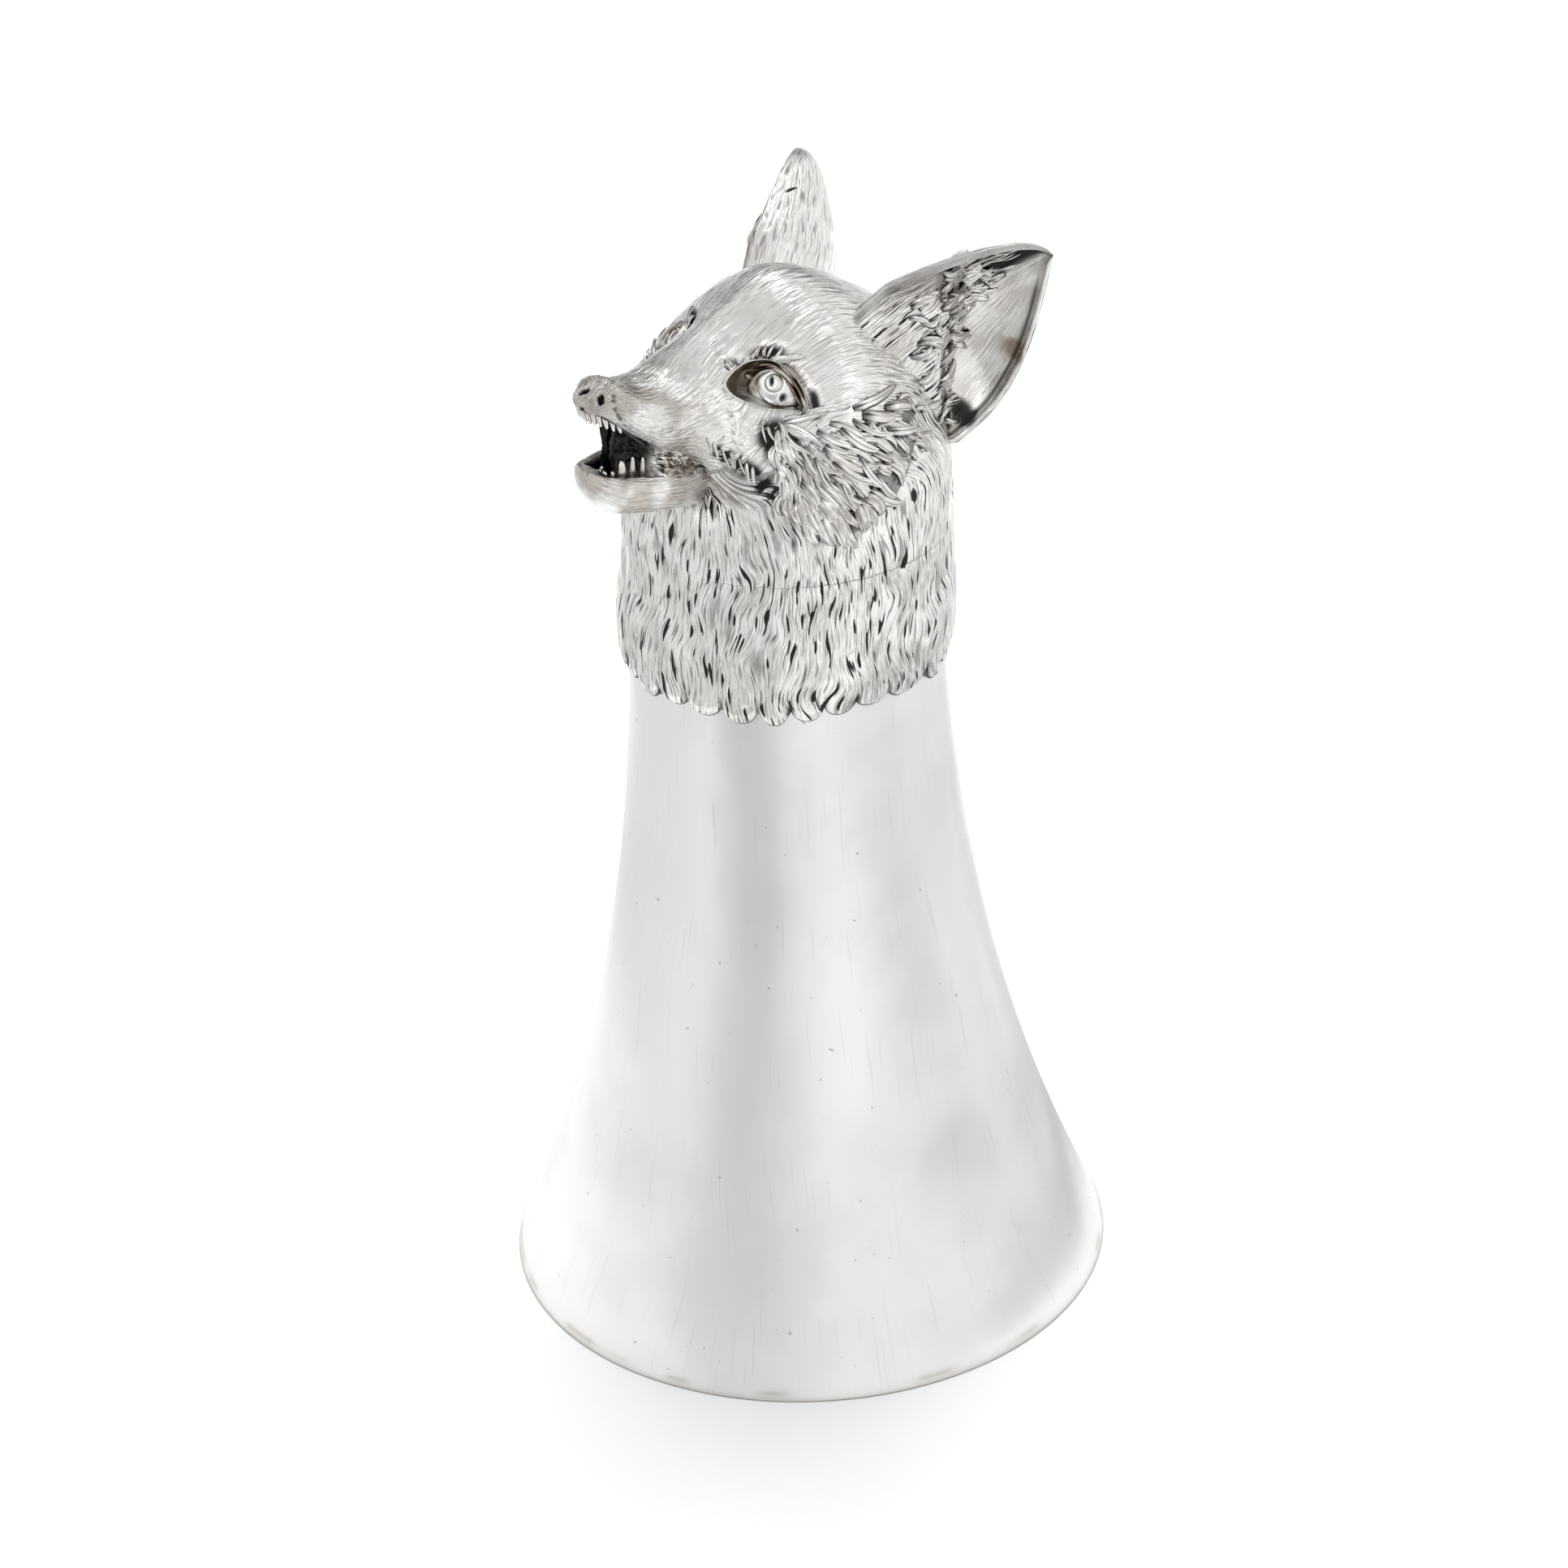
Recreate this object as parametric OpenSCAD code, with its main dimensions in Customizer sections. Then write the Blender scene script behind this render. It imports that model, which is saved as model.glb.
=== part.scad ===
// Stirrup cup: a flared silver beaker that stands on its rim, with a fox's head cast in the round
// on the narrow end. Millimetres. The rim stands on z = 0, the fox looks along -Y, up is +Z.

/* [Beaker] */
// Outside diameter of the rim the cup stands on
rim_d = 76; // [72:0.5:82]
// Outside diameter of the beaker's waist, under the fur collar
waist_d = 38.2; // [36:0.2:39.4]
// Height of the beaker from the rim to its narrow end
beaker_h = 92; // [86:0.5:98]
// Length of the straight seat on the narrow end that the collar slides over
seat_len = 5.6; // [4:0.2:8]
// Wall of the beaker
beaker_wall = 1.0; // [0.8:0.1:1.4]
// Straight widening of each side from waist to rim
side_taper = 4.6; // [3:0.2:7]
// Power of the flare towards the rim
flare_power = 2.33; // [2:0.05:2.8]

/* [Beaker floor] */
// Thickness of the floor disc
floor_t = 1.0; // [0.8:0.1:1.5]
// Rise of the dome on the floor disc
floor_dome = 1.6; // [0.8:0.2:2.4]
// Width of the step the floor disc rests on
floor_step = 0.9; // [0.6:0.1:1.2]
// Height of the step under the floor disc
floor_ledge = 0.8; // [0.6:0.1:1.2]
// Depth of the floor disc's edge below the narrow end
floor_inset = 0.6; // [0.3:0.1:1]

/* [Fur collar] */
// How far the fur of the neck stands out beyond the beaker's waist, each side
neck_swell = 1.1; // [0.4:0.1:2]
// Height of the neck joint above the narrow end of the beaker
neck_rise = 12; // [10:0.5:15]
// How far the collar hangs below the narrow end of the beaker, to its fringe
fringe_drop = 4.6; // [4:0.2:5.4]
// Length of the pointed tips of the fringe
fringe_tip = 1.8; // [1:0.2:2.6]
// Number of pointed tips round the fringe
fringe_count = 15; // [11:1:18]
// Thickness of the collar at its fringe
fringe_t = 0.85; // [0.6:0.05:1.2]
// Bulge of the fur above the fringe
fringe_bulge = 0.4; // [0:0.1:0.8]
// Metal left round the inside of the neck and head
cast_wall = 2.4; // [2:0.1:3]
// Height of the ring that centres the head on the collar
spigot_h = 3; // [2:0.5:4]
// Thickness of the ring that centres the head
spigot_t = 1.2; // [1:0.1:1.6]

/* [Head] */
// Height of the crown above the neck joint
head_rise = 31.4; // [30:0.2:34]
// From the cup's axis forward to the tip of the nose
nose_reach = 29.4; // [27:0.2:32]
// Width of the muzzle across the whisker pads
muzzle_w = 12.8; // [11.6:0.2:14]
// Width across the temples behind the eyes
temple_w = 29; // [27:0.2:31]
// Height the brow ridges stand above the skull
brow_relief = 0.9; // [0.2:0.1:1.4]
// Height of the whisker pads
pad_relief = 0.5; // [0:0.1:1]
// Depth of the eye hollows
orbit_relief = 1.4; // [1:0.1:1.8]
// Thickness of the lips round the mouth
lip_t = 1.3; // [1:0.1:1.6]
// Depth of the mouth behind the front of the upper lip
mouth_len = 12.5; // [11:0.1:13]
// Depth of the hollow in the roof of the mouth
palate_h = 1.9; // [1.7:0.1:2.2]

/* [Lower jaw] */
// Length of the lower jaw from throat to chin
jaw_len = 15; // [13:0.2:16]
// Depth of the chin
chin_h = 5.2; // [4.4:0.2:6]
// Downward tilt of the lower lip towards the back, degrees
jaw_tilt = 8; // [5:0.5:10]
// Depth of the trough in the lower jaw
trough_h = 2.6; // [2:0.1:3]
// Length of the trough behind the front of the lower lip
trough_len = 12; // [10:0.2:12.4]
// Gap between the lips at the front of the mouth
gape = 6; // [5:0.2:7]

/* [Ears] */
// Length of an ear from its tip to its root
ear_len = 25; // [23:0.2:27]
// Width of an ear at its widest
ear_w = 21.2; // [19:0.2:23]
// Depth of the hollow of an ear
ear_depth = 7.6; // [6.6:0.2:8.6]
// Thickness of the ear's shell
ear_t = 1.3; // [1:0.1:1.6]
// Distance of an ear's tip from the middle plane
ear_tip_out = 22.3; // [20:0.2:24]
// Distance of an ear's tip behind the cup's axis
ear_tip_back = 24.3; // [22:0.2:26]

/* [Eyes] */
// Diameter of the round-nosed eye pin
eye_d = 8.2; // [7.4:0.2:9]
// Length of the straight part of the eye pin
eye_shank = 3.4; // [2.5:0.1:4]
// Length of the eyelids from corner to corner
lid_len = 9; // [8.4:0.2:9.6]
// Height of the eyelids' opening
lid_open = 4.4; // [4:0.2:5]
// Thickness of the eyelids
lid_t = 1.1; // [0.8:0.1:1.4]

/* [Teeth] */
// Length of a canine tooth
canine_len = 3.6; // [3:0.2:4]
// Diameter of a canine tooth at its root
canine_d = 1.5; // [1.2:0.1:1.7]
// Diameter of a front tooth at its root
incisor_d = 0.96; // [0.8:0.02:1.1]
// Length of a front tooth
incisor_len = 1.5; // [1:0.1:1.8]
// Height of the bar the teeth stand on
gum_h = 1.1; // [0.9:0.1:1.3]
// Width of the bar the teeth stand on
gum_w = 1.7; // [1.5:0.1:1.9]

/* [Fits] */
// Solder gap left all round a seat
solder_gap = 0.05; // [0.02:0.01:0.1]
// Diameter of the pegs that locate the ears and the jaw
peg_d = 3; // [2.4:0.2:3.4]
// Length of the pegs
peg_len = 3; // [2:0.2:3.4]

/* [Hidden] */

silver = [0.80, 0.79, 0.77];
dark_silver = [0.62, 0.60, 0.57];

rim_r = rim_d / 2;
waist_r = waist_d / 2;
neck_r = waist_r + neck_swell;
flare_h = beaker_h - seat_len;
floor_z = beaker_h - floor_t - floor_inset;
joint_z = beaker_h + neck_rise;
bore_r = neck_r - cast_wall - spigot_t;
eye_r = eye_d / 2;
peg_r = peg_d / 2;
gap = solder_gap;

// Outside radius of the beaker at height z
function beaker_r(z) =
    let (t = max(0, 1 - z / flare_h))
    waist_r + side_taper * t + (rim_r - waist_r - side_taper) * pow(t, flare_power);

// Slope of the beaker's side at height z
function beaker_slope(z) = (beaker_r(z - 0.01) - beaker_r(z + 0.01)) / 0.02;

// Inside radius of the beaker at height z, one wall in along the normal
function beaker_in(z) =
    beaker_r(z) - beaker_wall * sqrt(1 + pow(beaker_slope(min(max(z, 0.02), flare_h - 0.02)), 2));

// Smooth curve through the rows of P, at u from 0 to one less than the number of rows
function smooth(P, u) =
    let (n = len(P) - 1)
    let (i = min(max(floor(u), 0), n - 1))
    let (t = u - i)
    let (a = P[max(i - 1, 0)])
    let (b = P[i])
    let (c = P[i + 1])
    let (d = P[min(i + 2, n)])
    0.5 * (2 * b + (c - a) * t + (2 * a - 5 * b + 4 * c - d) * t * t + (3 * b - a - 3 * c + d) * t * t * t);

// One ring of a skin: upper and lower rail points [forward, up], half width, share of the height
// where it is widest, and the roundness of its upper and lower halves
function ring(s, grow, count) =
    let (up = [s[0] - s[2], s[1] - s[3]])
    let (h = norm(up))
    let (dir = up / h)
    let (low = [s[2], s[3]] - grow * dir)
    let (full = h + 2 * grow)
    [for (j = [0 : count - 1])
        let (a = 360 * j / count)
        let (n = sin(a) >= 0 ? s[6] : s[7])
        let (sa = pow(abs(sin(a)), 2 / n))
        let (ca = pow(abs(cos(a)), 2 / n))
        let (x = (s[4] + grow) * sign(cos(a)) * ca)
        let (f = sin(a) >= 0 ? s[5] + (1 - s[5]) * sa : s[5] * (1 - sa))
        let (q = low + full * f * dir)
        [x, -q[0], joint_z + q[1]]];

// Rings of the head, from the neck joint over nape and crown, brow and bridge, to the nose
head_rings = [
    [-1.00 * neck_r, 0.000 * head_rise, 0.90 * neck_r, 0.000 * head_rise, 1.00 * neck_r, 0.50, 2.0, 2.0],
    [-1.01 * neck_r, 0.226 * head_rise, 0.88 * neck_r, 0.144 * head_rise, 1.00 * neck_r, 0.48, 2.0, 2.0],
    [-0.97 * neck_r, 0.477 * head_rise, 0.83 * neck_r, 0.223 * head_rise, 0.98 * neck_r, 0.44, 2.0, 2.0],
    [-0.79 * neck_r, 0.733 * head_rise, 0.78 * neck_r, 0.271 * head_rise, 0.93 * neck_r, 0.40, 2.0, 2.0],
    [-0.25 * nose_reach, 0.925 * head_rise, 0.53 * nose_reach, 0.303 * head_rise, 0.565 * temple_w, 0.37, 2.1, 2.0],
    [-0.02 * nose_reach, 1.000 * head_rise, 0.52 * nose_reach, 0.334 * head_rise, 0.430 * temple_w, 0.33, 1.75, 2.4],
    [0.25 * nose_reach, 0.932 * head_rise, 0.53 * nose_reach, 0.383 * head_rise, 0.325 * temple_w, 0.25, 1.38, 2.6],
    [0.42 * nose_reach, 0.867 * head_rise, 0.56 * nose_reach, 0.415 * head_rise, 0.293 * temple_w, 0.36, 1.42, 3.0],
    [0.60 * nose_reach, 0.790 * head_rise, 0.63 * nose_reach, 0.484 * head_rise, 0.540 * muzzle_w, 0.42, 1.8, 3.2],
    [0.76 * nose_reach, 0.784 * head_rise, 0.75 * nose_reach, 0.545 * head_rise, 0.480 * muzzle_w, 0.46, 2.0, 3.4],
    [0.86 * nose_reach, 0.820 * head_rise, 0.87 * nose_reach, 0.615 * head_rise, 0.410 * muzzle_w, 0.48, 2.0, 3.2],
    [0.94 * nose_reach, 0.816 * head_rise, 0.95 * nose_reach, 0.662 * head_rise, 0.285 * muzzle_w, 0.50, 2.2, 3.0],
    [0.985 * nose_reach, 0.790 * head_rise, 0.98 * nose_reach, 0.692 * head_rise, 0.160 * muzzle_w, 0.50, 2.2, 2.6]];

// Relief of the face: place [out, forward, up], reach and height of each swelling or hollow
face_relief = [
    [[0.26 * temple_w, 0.17 * nose_reach, 0.850 * head_rise], 0.110 * temple_w, 0.67 * brow_relief],
    [[0.33 * temple_w, 0.26 * nose_reach, 0.707 * head_rise], 0.131 * temple_w, -orbit_relief],
    [[0.40 * muzzle_w, 0.84 * nose_reach, 0.677 * head_rise], 0.25 * muzzle_w, pad_relief],
    [[0.00 * muzzle_w, 0.95 * nose_reach, 0.810 * head_rise], 0.19 * muzzle_w, 0.5 * pad_relief],
    [[0.40 * temple_w, 0.34 * nose_reach, 0.480 * head_rise], 0.145 * temple_w, 1.2 * brow_relief],
    [[0.34 * temple_w, 0.47 * nose_reach, 0.410 * head_rise], 0.11 * temple_w, 1.2 * brow_relief]];

function relief_at(p) =
    let (q = [abs(p[0]), -p[1], p[2] - joint_z])
    let (v = [for (f = face_relief) f[2] * exp(-pow(norm(q - f[0]) / f[1], 2))])
    v * [for (f = face_relief) 1];

// A ring of the head with the face's relief pushed out from the ring's middle
function carved(s, grow, count) =
    let (pts = ring(s, grow, count))
    let (mid = [0, -(s[0] + s[2]) / 2, joint_z + (s[1] + s[3]) / 2])
    [for (p = pts) p + relief_at(p) * (p - mid) / max(norm(p - mid), 0.001)];

// Closed skin over rings of equal count, fanned shut at both ends
module skin(rings, first, last) {
    count = len(rings[0]);
    rows = len(rings);
    pts = concat([for (r = rings) each r], [first, last]);
    side = [for (i = [0 : rows - 2]) for (j = [0 : count - 1])
        let (k = (j + 1) % count)
        each [[i * count + j, (i + 1) * count + j, (i + 1) * count + k],
              [i * count + j, (i + 1) * count + k, i * count + k]]];
    low = [for (j = [0 : count - 1]) [rows * count, j, (j + 1) % count]];
    top = [for (j = [0 : count - 1])
        [rows * count + 1, (rows - 1) * count + (j + 1) % count, (rows - 1) * count + j]];
    polyhedron(pts, concat(side, low, top));
}

// The head as a plain solid, grown by a gap where another piece seats against it
module head_solid(grow) {
    rows = 34;
    count = 40;
    rings = [for (i = [0 : rows - 1]) carved(smooth(head_rings, 12 * i / (rows - 1)), grow, count)];
    tip = [0, -nose_reach - grow, joint_z + 0.752 * head_rise];
    skin(rings, [0, 0, joint_z], tip);
}

// Frame of the palate: the front of the upper lip, and its tilt down towards the back
palate_tilt = atan2(0.168 * head_rise, 0.32 * nose_reach);
lip_front = [0, -0.955 * nose_reach, joint_z + 0.686 * head_rise];
module in_palate() {
    translate(lip_front) rotate([-palate_tilt, 0, 0]) children();
}

// Frame of the lower lip
chin_front = [0, -0.99 * nose_reach, lip_front[2] - gape];
module in_jaw() {
    translate(chin_front) rotate([-jaw_tilt, 0, 0]) children();
}

// Half width of the mouth inside the lips, at a distance q behind the lip's front
function mouth_half(q) = 0.5 * muzzle_w * sqrt(max(0, q - lip_t) / muzzle_w);

// Outline of the mouth seen from above, drawn in by inset, from the front lip back to q_end
module mouth_outline(inset, q_end) {
    steps = 14;
    start = lip_t + inset;
    q = [for (i = [0 : steps]) start + (q_end - start) * pow(i / steps, 2)];
    half = [for (v = q) max(0, mouth_half(v - inset) - inset * sqrt(min(1, (v - start) / lip_t)))];
    polygon(concat([for (i = [0 : steps]) [half[i], q[i]]],
                   [for (i = [steps : -1 : 1]) [-half[i], q[i]]]));
}

// Ear frame: axis from root to tip, and the way the hollow faces
ear_face = [0.843, -0.537, 0.010];
ear_lean = [0.415, 0.665, 0.623];
ear_n = ear_face / norm(ear_face);
ear_e = (ear_lean - (ear_lean * ear_n) * ear_n) / norm(ear_lean - (ear_lean * ear_n) * ear_n);
ear_w_dir = cross(ear_n, ear_e);
ear_tip = [ear_tip_out, ear_tip_back, joint_z + 1.041 * head_rise];
ear_peg_at = ear_tip - ear_e * 0.68 * ear_len - ear_n * 0.5 * ear_depth;

// Half widths of the ear towards the crown and towards the cheek, and its depth, at a share t of
// the way from tip to root
function ear_root(t) = 1 - 0.65 * ease(0.93, 1.15, t);
function ear_upper(t) = max(0.35, 0.5 * ear_w * sqrt(min(1, t / 0.68)) * ear_root(t));
function ear_lower(t) = max(0.35, 0.5 * ear_w * sin(90 * min(1, t / 0.82)) * ear_root(t));
function ear_deep(t) = max(0.6, ear_depth * sqrt(min(1, t / 0.62)) * ear_root(t));
function ease(a, b, t) = let (s = min(1, max(0, (t - a) / (b - a)))) s * s * (3 - 2 * s);

function ear_side(t, a, inset) =
    let (half = sin(a) > 0 ? ear_upper(t) : ear_lower(t))
    max(0.3 * half, half - inset) * sin(a);

function ear_ring(t, steps) =
    let (c = ear_tip - ear_e * ear_len * t)
    let (d = ear_deep(t))
    let (di = (d - min(ear_t, 0.45 * d)) * (1 - ease(0.5, 0.74, t)))
    concat([for (i = [0 : steps]) let (a = -90 + 180 * i / steps)
                c + ear_side(t, a, 0) * ear_w_dir - d * cos(a) * ear_n],
           [for (i = [0 : steps]) let (a = 90 - 180 * i / steps)
                c + ear_side(t, a, ear_t) * ear_w_dir - di * cos(a) * ear_n]);

module ear_solid() {
    steps = 10;
    rows = 14;
    rings = [for (i = [0 : rows - 1]) ear_ring(1.15 - 1.13 * pow(i / (rows - 1), 0.8), steps)];
    skin(rings, ear_tip - ear_e * 1.15 * ear_len - 0.5 * ear_depth * ear_n, ear_tip + 0.3 * ear_e);
}

// Turn a child standing on +Z so that it stands along a direction, at a place
module along(place, dir) {
    tilt = acos(dir[2] / norm(dir));
    spin = atan2(dir[1], dir[0]);
    translate(place) rotate([0, 0, spin]) rotate([0, tilt, 0]) children();
}

module ear_peg(grow) {
    along(ear_peg_at, -ear_e) cylinder(r = peg_r + grow, h = 0.11 * ear_len + peg_len + 2 * grow, $fn = 32);
}

module jaw_peg(grow) {
    translate([0, -0.60 * nose_reach, joint_z + 0.28 * head_rise]) rotate([-90, 0, 0])
        cylinder(r = peg_r + grow, h = 0.08 * nose_reach + peg_len + 2 * grow, $fn = 32);
}

// Eye frame: the middle of the eye's dome, and the way it looks
eye_look = [0.64, -0.58, 0.50];
eye_dir = eye_look / norm(eye_look);
eye_at = [0.314 * temple_w, -0.258 * nose_reach, joint_z + 0.707 * head_rise] + 0.2 * eye_r * eye_dir;
eye_mid = eye_at - 0.975 * eye_r * eye_dir;
lid_run = [3.4, 2.3, -1.75];
lid_u = (lid_run - (lid_run * eye_dir) * eye_dir) / norm(lid_run - (lid_run * eye_dir) * eye_dir);
lid_v = cross(lid_u, eye_dir);

module eye_pin(grow) {
    translate(eye_mid) sphere(r = eye_r + grow, $fn = 48);
    along(eye_mid, -eye_dir) cylinder(r = eye_r + grow, h = eye_shank + 2 * grow, $fn = 48);
}

// Almond path of the eyelids, bent round the eye
function lid_point(a) =
    let (p = 0.5 * lid_len * cos(a))
    let (q = 0.5 * lid_open * sin(a) * pow(abs(sin(a)), 0.25))
    eye_at + p * lid_u + q * lid_v - (0.18 * (p * p + q * q) / lid_len + 0.23 * lid_t) * eye_dir;

module eyelids() {
    turns = 28;
    sides = 8;
    pts = [for (i = [0 : turns - 1])
        let (a = 360 * (i + 0.5) / turns)
        let (c = lid_point(a))
        let (out = [c - eye_at - ((c - eye_at) * eye_dir) * eye_dir])
        let (o = out[0] / norm(out[0]))
        for (j = [0 : sides - 1])
            let (b = 360 * j / sides)
            c + 0.5 * lid_t * (cos(b) * o + sin(b) * eye_dir)];
    faces = [for (i = [0 : turns - 1]) for (j = [0 : sides - 1])
        let (m = (i + 1) % turns)
        let (k = (j + 1) % sides)
        each [[i * sides + j, m * sides + k, m * sides + j], [i * sides + j, i * sides + k, m * sides + k]]];
    polyhedron(pts, faces);
}

module both_sides() {
    children();
    mirror([1, 0, 0]) children();
}

module beaker() {
    steps = 44;
    step_r = beaker_in(flare_h);
    outer = [for (i = [0 : steps]) let (z = flare_h * i / steps) [beaker_r(z), z]];
    inner = [for (i = [steps : -1 : 0]) let (z = flare_h * i / steps) [beaker_in(z), z]];
    color(silver) rotate_extrude($fn = 96)
        polygon(concat(outer,
            [[waist_r, beaker_h], [step_r, beaker_h], [step_r, floor_z], [step_r - floor_step, floor_z],
             [step_r - floor_step, floor_z - floor_ledge], [step_r, floor_z - floor_ledge - floor_step]],
            inner));
}

module beaker_floor() {
    disc_r = beaker_in(flare_h) - gap;
    ball_r = (disc_r * disc_r * 0.64 + floor_dome * floor_dome) / (2 * floor_dome);
    color(silver) translate([0, 0, floor_z + gap]) difference() {
        union() {
            cylinder(r = disc_r, h = floor_t, $fn = 96);
            intersection() {
                cylinder(r = 0.8 * disc_r, h = 2 * floor_dome + floor_t, $fn = 96);
                translate([0, 0, floor_t + floor_dome - ball_r]) sphere(r = ball_r, $fn = 120);
            }
        }
        intersection() {
            translate([0, 0, -1]) cylinder(r = 0.76 * disc_r, h = 2 * floor_dome + floor_t, $fn = 96);
            translate([0, 0, floor_dome - ball_r]) sphere(r = ball_r, $fn = 120);
        }
    }
}

// Ring of the collar at a share s of its height, from a circle with the fringe's points to the
// head's first ring
function ruff_ring(s, count) =
    let (top = ring(head_rings[0], 0, count))
    [for (j = [0 : count - 1])
        let (a = 360 * j / count)
        let (tip = fringe_tip * pow(abs(sin(fringe_count * a / 2)), 0.7) * pow(1 - s, 3))
        let (r = waist_r + fringe_t + fringe_bulge * sin(180 * min(1, 1.2 * s)))
        let (z = beaker_h - fringe_drop + (neck_rise + fringe_drop) * s - tip)
        let (m = ease(0, 1, s))
        [r * cos(a) * (1 - m) + top[j][0] * m, r * sin(a) * (1 - m) + top[j][1] * m, z]];

module neck_ruff() {
    rows = 12;
    count = 90;
    color(silver) difference() {
        union() {
            skin([for (i = [0 : rows - 1]) ruff_ring(i / (rows - 1), count)],
                 [0, 0, beaker_h - fringe_drop - fringe_tip], [0, 0, joint_z]);
            translate([0, 0, joint_z - 1]) cylinder(r = bore_r + spigot_t, h = spigot_h + 1, $fn = 96);
        }
        translate([0, 0, -1]) cylinder(r = waist_r + gap, h = beaker_h + gap + 1, $fn = 96);
        cylinder(r = bore_r, h = joint_z + spigot_h + 1, $fn = 96);
    }
}

module head() {
    hollow_r = bore_r + spigot_t + gap;
    color(silver) difference() {
        union() {
            head_solid(0);
            both_sides() eyelids();
        }
        translate([0, 0, joint_z - 1]) cylinder(r = hollow_r, h = spigot_h + 1 + gap, $fn = 96);
        translate([0, 0.03 * neck_r, joint_z + 0.2 * head_rise]) sphere(r = 0.96 * bore_r, $fn = 96);
        in_palate() translate([0, 0, -gape]) linear_extrude(gape + palate_h) mouth_outline(0, mouth_len);
        both_sides() eye_pin(gap);
        both_sides() ear_peg(gap);
        jaw_peg(gap);
    }
}

// Rings of the lower jaw in the frame of its lip: distance behind the front, lower rail, half width
function jaw_ring(q, count) =
    let (drop = -chin_h * (0.25 + 0.75 * pow(min(1, 5 * q / jaw_len), 0.5)) - 0.1 * q)
    let (w = mouth_half(q + lip_t) + lip_t * min(1, 0.3 + q / lip_t))
    let (c = cos(jaw_tilt))
    let (s = sin(jaw_tilt))
    let (top = [-chin_front[1] - q * c, chin_front[2] - joint_z - q * s])
    let (low = [top[0] - drop * s, top[1] + drop * c])
    ring([top[0], top[1], low[0], low[1], w, 0.72, 4, 2.2], 0, count);

module jaw_solid() {
    rows = 14;
    rings = [for (i = [0 : rows - 1]) jaw_ring(jaw_len * (0.01 + 1.26 * pow(1 - i / (rows - 1), 1.5)), 32)];
    back = jaw_ring(1.27 * jaw_len, 32);
    skin(rings, (back[8] + back[24]) / 2, chin_front + [0, 0, -0.12 * chin_h]);
}

module lower_jaw() {
    color(silver) union() {
        difference() {
            jaw_solid();
            head_solid(gap);
            in_jaw() translate([0, 0, -trough_h]) linear_extrude(trough_h + gape) mouth_outline(0, trough_len);
        }
        jaw_peg(0);
    }
}

module left_ear() {
    color(silver) union() {
        difference() {
            ear_solid();
            head_solid(gap);
        }
        ear_peg(0);
    }
}

module right_ear() {
    mirror([1, 0, 0]) left_ear();
}

module left_eye() {
    color(dark_silver) eye_pin(0);
}

module right_eye() {
    mirror([1, 0, 0]) left_eye();
}

// A horseshoe bar with front teeth, a pair of canines and three cheek teeth a side, standing up
module tooth_row(q_end, front, fang) {
    sunk = 0.2 * gum_h;
    root = gum_h - sunk;
    row_in = 0.6 * gum_w;
    linear_extrude(gum_h) difference() {
        mouth_outline(gap, q_end - gum_w / 3);
        mouth_outline(gum_w, q_end + gum_w);
    }
    for (i = [-2.5 : 1 : 2.5])
        translate([0.6 * incisor_d * i, lip_t + 0.75 * incisor_d + 0.09 * incisor_d * i * i, root])
            cylinder(d1 = incisor_d, d2 = 0.55 * incisor_d, h = front + sunk, $fn = 20);
    both_sides() {
        translate([mouth_half(lip_t + 0.27 * q_end) - row_in, lip_t + 0.28 * q_end, root])
            cylinder(d1 = canine_d, d2 = 0.27 * canine_d, h = fang + sunk, $fn = 24);
        for (q = [0.43, 0.575, 0.72])
            translate([mouth_half(lip_t + q * q_end) - row_in, lip_t + q * q_end, root])
                cylinder(d1 = 1.5 * incisor_d, d2 = 0.6 * incisor_d, h = 1.2 * front + sunk, $fn = 20);
    }
}

module upper_teeth() {
    color(dark_silver) in_palate() translate([0, 0, palate_h - gap]) mirror([0, 0, 1])
        tooth_row(mouth_len, incisor_len, 0.75 * canine_len);
}

module lower_teeth() {
    color(dark_silver) in_jaw() translate([0, 0, -trough_h + gap])
        tooth_row(trough_len, incisor_len, canine_len);
}

beaker();
beaker_floor();
neck_ruff();
head();
lower_jaw();
left_ear();
right_ear();
left_eye();
right_eye();
upper_teeth();
lower_teeth();
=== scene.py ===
"""Silver stirrup cup shaped as a fox's mask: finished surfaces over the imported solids.

The cup stands on its rim. The frame is that of the solids: the rim lies on z = 0, the fox looks
along -Y and its left side is +X. Shapes are worked out in millimetres and put into meshes in metres.
"""
import logging
import math
from dataclasses import dataclass, field
from enum import Enum
from typing import Any, NamedTuple

import bpy
import numpy as np
from mathutils import Matrix


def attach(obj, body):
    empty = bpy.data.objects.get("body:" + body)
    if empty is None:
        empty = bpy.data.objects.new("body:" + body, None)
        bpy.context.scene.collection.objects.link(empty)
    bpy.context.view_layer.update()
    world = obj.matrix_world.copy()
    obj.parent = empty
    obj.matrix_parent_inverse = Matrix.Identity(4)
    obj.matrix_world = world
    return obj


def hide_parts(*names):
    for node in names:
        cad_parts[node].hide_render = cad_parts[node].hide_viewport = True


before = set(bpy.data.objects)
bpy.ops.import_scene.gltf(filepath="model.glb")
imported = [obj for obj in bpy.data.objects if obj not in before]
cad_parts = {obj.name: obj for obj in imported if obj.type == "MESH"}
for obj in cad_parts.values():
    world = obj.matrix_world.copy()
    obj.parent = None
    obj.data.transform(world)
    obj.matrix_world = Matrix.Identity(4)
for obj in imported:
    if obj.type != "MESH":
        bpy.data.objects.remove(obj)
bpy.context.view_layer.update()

LOG = logging.getLogger("stirrup_cup")
MM = 0.001
TURN = 2 * np.pi
Array = np.ndarray
Colour = tuple[float, float, float]
Point = tuple[float, float, float]
Spot = tuple[float, float]
Group = tuple[float, float, tuple[Point, ...]]


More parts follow.
